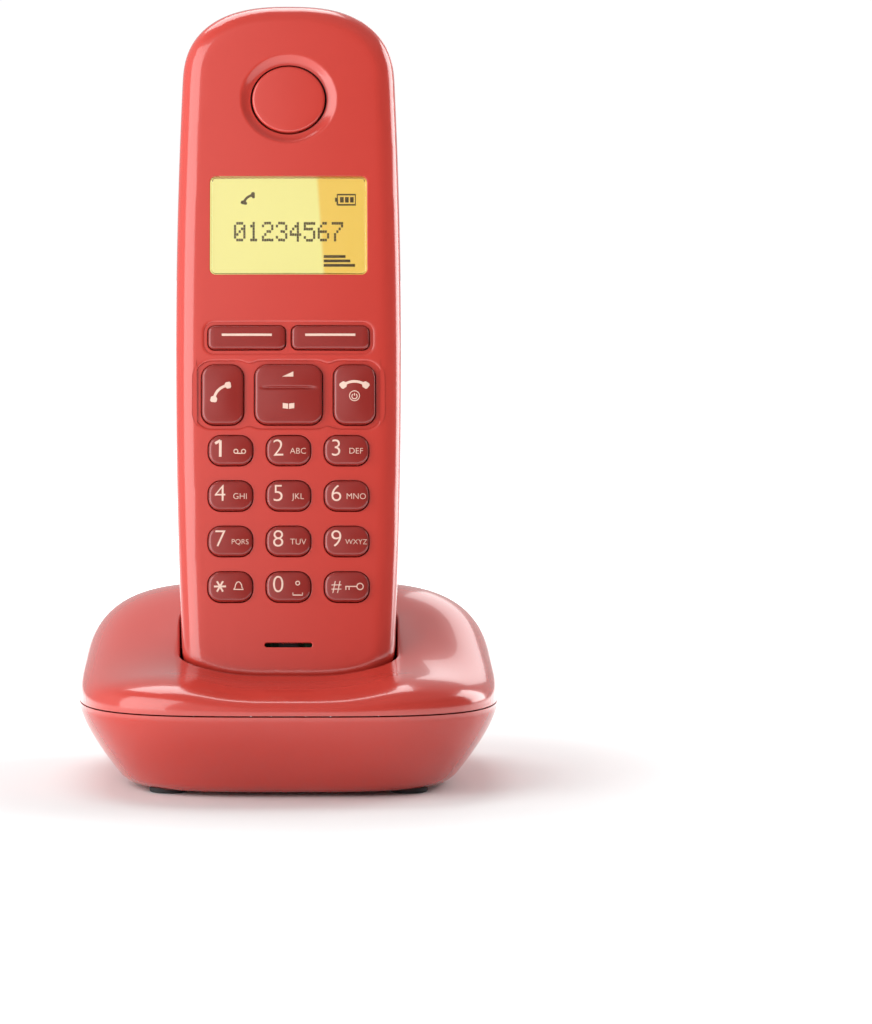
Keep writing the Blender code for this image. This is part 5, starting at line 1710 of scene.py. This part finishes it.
def buildSprings():
    tree = springTree()
    for name, pieceName, flipped in (("battery_spring_left", "springLeft", False),
                                     ("battery_spring_right", "springRight", True)):
        box = handsetBox(name)
        size = span(box)
        wire = 0.0006
        spring = growTree(tree, pieceName, {
            "Turns": 3.0, "Wide": (size.x - wire) / 2, "Narrow": size.x * 0.22, "Height": size.z - wire,
            "Wire": wire, "Finish": steel,
        })
        cell = middle(handsetBox("battery_left" if "left" in name else "battery_right"))
        foot = box[1].z - wire / 2 if flipped else box[0].z + wire / 2
        turn = Matrix.Rotation(pi, 4, "X") if flipped else Matrix.Identity(4)
        spring.data.transform(Matrix.Translation((cell.x, cell.y, foot)) @ turn)
        settle(stand(spring), "handset", steel, [name])


def screwTree():
    # pan-head screws with a cross recess, one on every point it is given
    net, given = geometryTree("crossHeadScrews", {
        "Points": "Geometry", "Head Radius": "Float", "Head Height": "Float", "Shank Radius": "Float",
        "Length": "Float", "Turn": "Rotation", "Finish": "Material",
    })
    head = net.add("GeometryNodeMeshCylinder", {"fill_type": "TRIANGLE_FAN"}, {
        "Vertices": 48, "Side Segments": 4, "Fill Segments": 6, "Radius": 1.0, "Depth": 1.0,
    })
    apart = net.add("ShaderNodeSeparateXYZ", {}, {0: net.add("GeometryNodeInputPosition")})
    x, y, z = apart.out("X"), apart.out("Y"), apart.out("Z")
    outness = x * x + y * y
    domed = given["Head Height"] * ((z - 0.5) - 0.35 * outness * (z + 0.5))
    place = vectorOf(net, x * given["Head Radius"], y * given["Head Radius"], domed)
    dome = net.add("GeometryNodeSetPosition", {}, {"Geometry": head.out("Mesh"), "Position": place})

    slots = []
    for across in (True, False):
        long, narrow = given["Head Radius"] * 1.15, given["Head Radius"] * 0.27
        first, second = (long, narrow) if across else (narrow, long)
        slots.append(net.add("GeometryNodeMeshCube", {}, {
            "Size": vectorOf(net, first, second, given["Head Height"] * 1.3),
        }))
    recessed = net.add("GeometryNodeMeshBoolean", {"operation": "DIFFERENCE", "solver": "EXACT"},
                       {"Mesh 1": dome})
    for slot in slots:
        net.tree.links.new(slot.socket, recessed.socket.node.inputs["Mesh 2"])

    shank = net.add("GeometryNodeMeshCylinder", {"fill_type": "NGON"}, {
        "Vertices": 24, "Side Segments": 60, "Radius": 1.0, "Depth": 1.0,
    })
    thread = net.add("ShaderNodeSeparateXYZ", {}, {0: net.add("GeometryNodeInputPosition")})
    tx, ty, tz = thread.out("X"), thread.out("Y"), thread.out("Z")
    wave = net.maths("SINE", tz * 75.0 + net.maths("ARCTAN2", ty, tx)) * 0.09 + 0.91
    point = net.between(tz, -0.5, -0.38) * 0.55 + 0.45
    radius = given["Shank Radius"] * wave * point
    under = (tz - 0.5) * (given["Length"] - given["Head Height"]) - given["Head Height"] * 0.98
    turned = net.add("GeometryNodeSetPosition", {}, {
        "Geometry": shank.out("Mesh"), "Position": vectorOf(net, tx * radius, ty * radius, under),
    })
    screw = joinAll(net, recessed, turned)
    screws = net.add("GeometryNodeInstanceOnPoints", {}, {
        "Points": given["Points"], "Instance": screw, "Rotation": given["Turn"],
    })
    closeTree(net, screws, given["Finish"])
    return net.tree


def buildScrews():
    tree = screwTree()
    sizes = {"Head Radius": 0.0022, "Head Height": 0.0011, "Shank Radius": 0.0012, "Finish": steel}

    handsetNames = ["handset_screw_left", "handset_screw_right"]
    boxes = [handsetBox(name) for name in handsetNames]
    points = bpy.data.meshes.new("screwPoints")
    points.from_pydata([(middle(box).x, box[1].y, middle(box).z) for box in boxes], [], [])
    values = dict(sizes, Length=span(boxes[0]).y, Turn=(-pi / 2, 0.0, 0.0))
    screws = growTree(tree, "handsetScrews", values, points)
    settle(stand(screws), "handset", steel, handsetNames, 30.0)

    baseNames = ["base_screw_left", "base_screw_right"]
    boxes = [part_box(name) for name in baseNames]
    points = bpy.data.meshes.new("screwPoints")
    points.from_pydata([(middle(box).x, middle(box).y, box[0].z) for box in boxes], [], [])
    values = dict(sizes, Length=span(boxes[0]).z, Turn=(pi, 0.0, 0.0))
    screws = growTree(tree, "baseScrews", values, points)
    settle(screws, "base", steel, baseNames, 30.0)


def softBlock(bm, outline, low, high, edge, place, steps=3):
    # a bar along local z with rounded ends, for contacts and keys
    rings = []
    for end, inwards in ((low, 1), (high, -1)):
        rounding = []
        for step in range(steps + 1):
            angle = pi / 2 * step / steps
            level = end + inwards * edge * (1 - sin(angle))
            rounding.append([place @ Vector((u, v, level)) for u, v in outline(edge * (1 - cos(angle)))])
        rings += rounding[::-inwards]
    loft(bm, rings, True, True)


def buildCharging():
    for side in ("left", "right"):
        box = handsetBox("charge_strip_" + side)
        size, centre = span(box), middle(box)
        bm = bmesh.new()
        softBlock(bm, lambda inset: roundedRectangle(size.x - 2 * inset, size.y - 2 * inset, 0.0007, 5, 1,
                                                     (centre.x, centre.y)),
                  box[0].z, box[1].z, 0.0003, Matrix.Identity(4))
        strip = stand(fromBmesh("chargeStrip" + side.capitalize(), bm))
        settle(strip, "handset", gold, ["charge_strip_" + side])

        name = "charge_contact_" + side
        box = handsetBox(name)
        size, centre = span(box), middle(box)
        bm = bmesh.new()
        softBlock(bm, lambda inset: roundedRectangle(size.x - 2 * inset, size.y - 2 * inset, 0.0005, 5, 1,
                                                     (centre.x, centre.y)),
                  box[0].z, box[1].z, 0.0006, Matrix.Identity(4), 5)
        pin = stand(fromBmesh("chargePin" + side.capitalize(), bm))
        settle(pin, name, gold, [name])


# the back and underside of the base
footShape = {
    "edge": 0.0004,
    "ringDepth": 0.00015,
    "rings": 3,
}


def buildFeet():
    for name in feet:
        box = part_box(name)
        size, centre = span(box), middle(box)
        radius, edge = size.x / 2, footShape["edge"]
        profile = [(0.0002, 0.0)]
        for groove in range(footShape["rings"]):
            # fine moulded rings under the foot
            at = radius * (0.28 + 0.2 * groove)
            profile += [(at - 0.0002, 0.0), (at, footShape["ringDepth"]), (at + 0.0002, 0.0)]
        for step in range(5):
            angle = pi / 2 * step / 4
            profile.append((radius - edge + edge * sin(angle), edge * (1 - cos(angle))))
        profile += [(radius, size.z), (0.0002, size.z)]
        bm = bmesh.new()
        lathe(bm, profile, 64, Matrix.Translation((centre.x, centre.y, 0.0)))
        words = name.split("_")
        piece = fromBmesh(words[0] + words[1].capitalize() + words[2].capitalize(), bm)
        settle(piece, "base", rubber, [name])


socketShape = {
    "wall": 0.0012,
    "notch": 0.0018,
    "lineWires": 4,
    "powerWires": 2,
    "wirePitch": 0.00115,
    "wireRadius": 0.00022,
}


def wireRowTree():
    # the springy contact wires in a socket: a row of bent wires, side by side
    net, given = geometryTree("contactWires", {
        "Count": "Int", "Pitch": "Float", "Radius": "Float", "Reach": "Float", "Drop": "Float",
        "Finish": "Material",
    })
    rail = net.add("GeometryNodeCurvePrimitiveBezierSegment", {"mode": "POSITION"}, {
        "Resolution": 20,
        "Start": vectorOf(net, 0.0, 0.0, 0.0),
        "Start Handle": vectorOf(net, 0.0, given["Reach"] * 0.45, 0.0),
        "End Handle": vectorOf(net, 0.0, given["Reach"] * 0.9, given["Drop"] * -0.2),
        "End": vectorOf(net, 0.0, given["Reach"] * 0.35, given["Drop"] * -1.0),
    })
    profile = net.add("GeometryNodeCurvePrimitiveCircle", {"mode": "RADIUS"}, {
        "Resolution": 10, "Radius": given["Radius"],
    })
    sweep = {"Curve": rail, "Profile Curve": profile, "Fill Caps": True}
    wire = net.add("GeometryNodeCurveToMesh", {}, sweep)
    start = vectorOf(net, given["Pitch"] * (given["Count"] - 1.0) * -0.5)
    line = net.add("GeometryNodeMeshLine", {"mode": "OFFSET", "count_mode": "TOTAL"}, {
        "Count": given["Count"], "Start Location": start, "Offset": vectorOf(net, given["Pitch"]),
    })
    row = net.add("GeometryNodeInstanceOnPoints", {}, {"Points": line, "Instance": wire})
    closeTree(net, row, given["Finish"])
    return net.tree


def buildSockets():
    look = socketShape
    tree = wireRowTree()
    for name, count in (("line_socket", look["lineWires"]), ("power_socket", look["powerWires"])):
        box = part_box(name)
        size, centre = span(box), middle(box)
        wall, notch = look["wall"], look["notch"]
        outline = roundedRectangle(size.x, size.z, 0.0004, 4, 1, (centre.x, centre.z))
        half = size.x / 2 - wall
        low, high = box[0].z + wall, box[1].z - wall
        profile = [(-half, low + notch), (-half / 2, low + notch), (-half / 2, low), (half / 2, low),
                   (half / 2, low + notch), (half, low + notch), (half, high), (-half, high)]
        hollow = [(centre.x + x, z) for x, z in profile]
        flare = [(centre.x + x * 1.05, z + (0.0003 if z > centre.z else -0.0003)) for x, z in profile]
        body = faceCut("socketBody", outline, box[0].y, box[1].y)
        bm = bmesh.new()
        back = box[1].y
        levels = ((hollow, box[0].y + wall), (hollow, back - 0.0004), (flare, back), (flare, back + wall))
        loft(bm, [[(x, y, z) for x, z in points] for points, y in levels], True, True)
        cut(body, "DIFFERENCE", fromBmesh("hollow", bm))
        words = name.split("_")
        body.name = words[0] + words[1].capitalize()
        settle(body, "base", socketBlack, [name])

        wires = growTree(tree, words[0] + "Wires", {
            "Count": count, "Pitch": look["wirePitch"] * (1.0 if count > 2 else 2.4),
            "Radius": look["wireRadius"], "Reach": size.y * 0.62, "Drop": (high - low) * 0.42, "Finish": gold,
        })
        wires.data.transform(Matrix.Translation((centre.x, box[0].y + wall * 0.9, high - 0.0004)))
        settle(wires, "base", gold)


def buildPageKey():
    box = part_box("page_key")
    size, centre = span(box), middle(box)
    place = Matrix.Translation((centre.x, 0.0, centre.z)) @ Matrix.Rotation(-pi / 2, 4, "X")
    bm = bmesh.new()
    softBlock(bm, lambda inset: roundedRectangle(size.x - 2 * inset, size.z - 2 * inset,
                                                 size.z * 0.48 - inset, 12),
              box[0].y, box[1].y, 0.0006, place, 5)
    key = fromBmesh("pageKey", bm)
    settle(key, "page_key", keyRed, ["page_key"])

    bm = bmesh.new()
    for turn in (0, 1, 2):
        # three arcs of a call going out
        ring(bm, centre.x, centre.z - 0.0009, 0.0005 + 0.0006 * turn, 0.0002, 45.0, 135.0, 14)
    layOn(bm, lambda x, z: 0.0)
    mark = fromBmesh("pageMark", bm)
    mark.data.transform(Matrix.Translation((0.0, box[1].y, 0.0)) @ Matrix.Scale(-1, 4, (0, 1, 0)))
    mark.data.flip_normals()
    settle(mark, "page_key", printCream, angle=60.0)


buildCell("battery_left", "cellLeft", True)
buildCell("battery_right", "cellRight", False)
buildSprings()
buildScrews()
buildCharging()
buildFeet()
buildSockets()
buildPageKey()
print("small parts made")


# CAD nodes that keep their own shape, each with its finish
keptFinishes = {
    "lcd_panel": lcdGlow,
    "backlight_guide": lightGuide,
    "keypad_mat": siliconeGrey,
    "dome_sheet": polyesterFilm,
    "handset_board": boardGreen,
    "base_board": boardGreen,
    "earpiece_speaker": speakerBlack,
    "ringer_speaker": speakerBlack,
    "microphone": speakerBlack,
    "page_switch": socketBlack,
    "handset_antenna": steel,
    "base_antenna": steel,
    "battery_link_contact": steel,
    "battery_terminal_positive": steel,
    "battery_terminal_negative": steel,
}
for name, finish in keptFinishes.items():
    for place in frame["nodes"][name].material_slots:
        place.material = finish


# floor, light and camera
stageLook = {
    "floorSize": 6.0,
    "left": (0.90, 0.90, 0.90, 1.0),
    "right": (0.17, 0.17, 0.17, 1.0),
    "behind": (0.60, 0.60, 0.60, 1.0),
    "above": (0.35, 0.35, 0.35, 1.0),
    "backdrop": 1.02,
}

lights = [
    # name, place, aim, width, height, watts
    ("leftBox", (-0.42, -0.30, 0.27), (0.0, 0.0, 0.08), 0.50, 0.60, 2.9),
    ("topBox", (-0.07, 0.20, 0.51), (0.0, 0.0, 0.02), 0.38, 0.26, 1.3),
    ("shoulderBox", (0.19, 0.55, 0.29), (0.0, 0.0, 0.03), 0.22, 0.20, 0.20),
    ("rightBox", (0.50, 0.24, 0.25), (0.0, 0.0, 0.06), 0.30, 0.45, 2.1),
]

cameraLook = {
    "aim": (0.0, 0.0, 0.0560),
    "distance": 1.0,
    "elevation": 4.8,
    "lens": 166.3,
    "shift": 0.144,
}


def buildFloor():
    bm = bmesh.new()
    bmesh.ops.create_grid(bm, x_segments=8, y_segments=8, size=stageLook["floorSize"] / 2)
    floor = fromBmesh("floor", bm)
    floor.data.materials.append(paleStage("paleStage", stageFinish))


def aimAt(thing, place, aim):
    thing.location = place
    thing.rotation_euler = (Vector(place) - Vector(aim)).to_track_quat("Z", "Y").to_euler()


def buildLights():
    for name, place, aim, width, height, watts in lights:
        lamp = bpy.data.lights.new(name, "AREA")
        lamp.shape = "RECTANGLE"
        lamp.size = width
        lamp.size_y = height
        lamp.energy = watts
        holder = bpy.data.objects.new(name, lamp)
        bpy.context.scene.collection.objects.link(holder)
        aimAt(holder, place, aim)

    world = bpy.data.worlds.new("studio")
    bpy.context.scene.world = world
    world.use_nodes = True
    world.node_tree.nodes.clear()
    net = Net(world.node_tree)
    # bright on the left, dark on the right, pale behind, and an even backdrop
    where = net.add("ShaderNodeSeparateXYZ", {}, {0: net.add("ShaderNodeTexCoord", out="Generated")})
    x, y, z = where.out("X"), where.out("Y"), where.out("Z")
    colour = net.mix(net.between(x, 0.12, -0.14), stageLook["right"], stageLook["left"])
    colour = net.mix(net.between(z, 0.50, 0.85), colour, stageLook["above"])
    colour = net.mix(net.between(y, 0.10, 0.60), colour, stageLook["behind"])
    seen = net.add("ShaderNodeLightPath", out="Is Camera Ray")
    around = net.add("ShaderNodeBackground", {}, {"Color": colour, "Strength": 1.0})
    white = {"Color": (1.0, 1.0, 1.0, 1.0), "Strength": stageLook["backdrop"]}
    backdrop = net.add("ShaderNodeBackground", {}, white)
    both = net.add("ShaderNodeMixShader", {}, {0: seen, 1: around, 2: backdrop})
    net.add("ShaderNodeOutputWorld", {}, {"Surface": both})


def buildCamera():
    look = cameraLook
    lens = bpy.data.cameras.new("camera")
    lens.lens = look["lens"]
    lens.sensor_width = 36.0
    lens.shift_x = look["shift"]
    lens.clip_start = 0.01
    holder = bpy.data.objects.new("camera", lens)
    bpy.context.scene.collection.objects.link(holder)
    rise = radians(look["elevation"])
    back = Vector((0.0, -cos(rise), sin(rise))) * look["distance"]
    aimAt(holder, Vector(look["aim"]) + back, look["aim"])
    bpy.context.scene.camera = holder
    bpy.context.scene.view_settings.view_transform = "Standard"


buildFloor()
buildLights()
buildCamera()
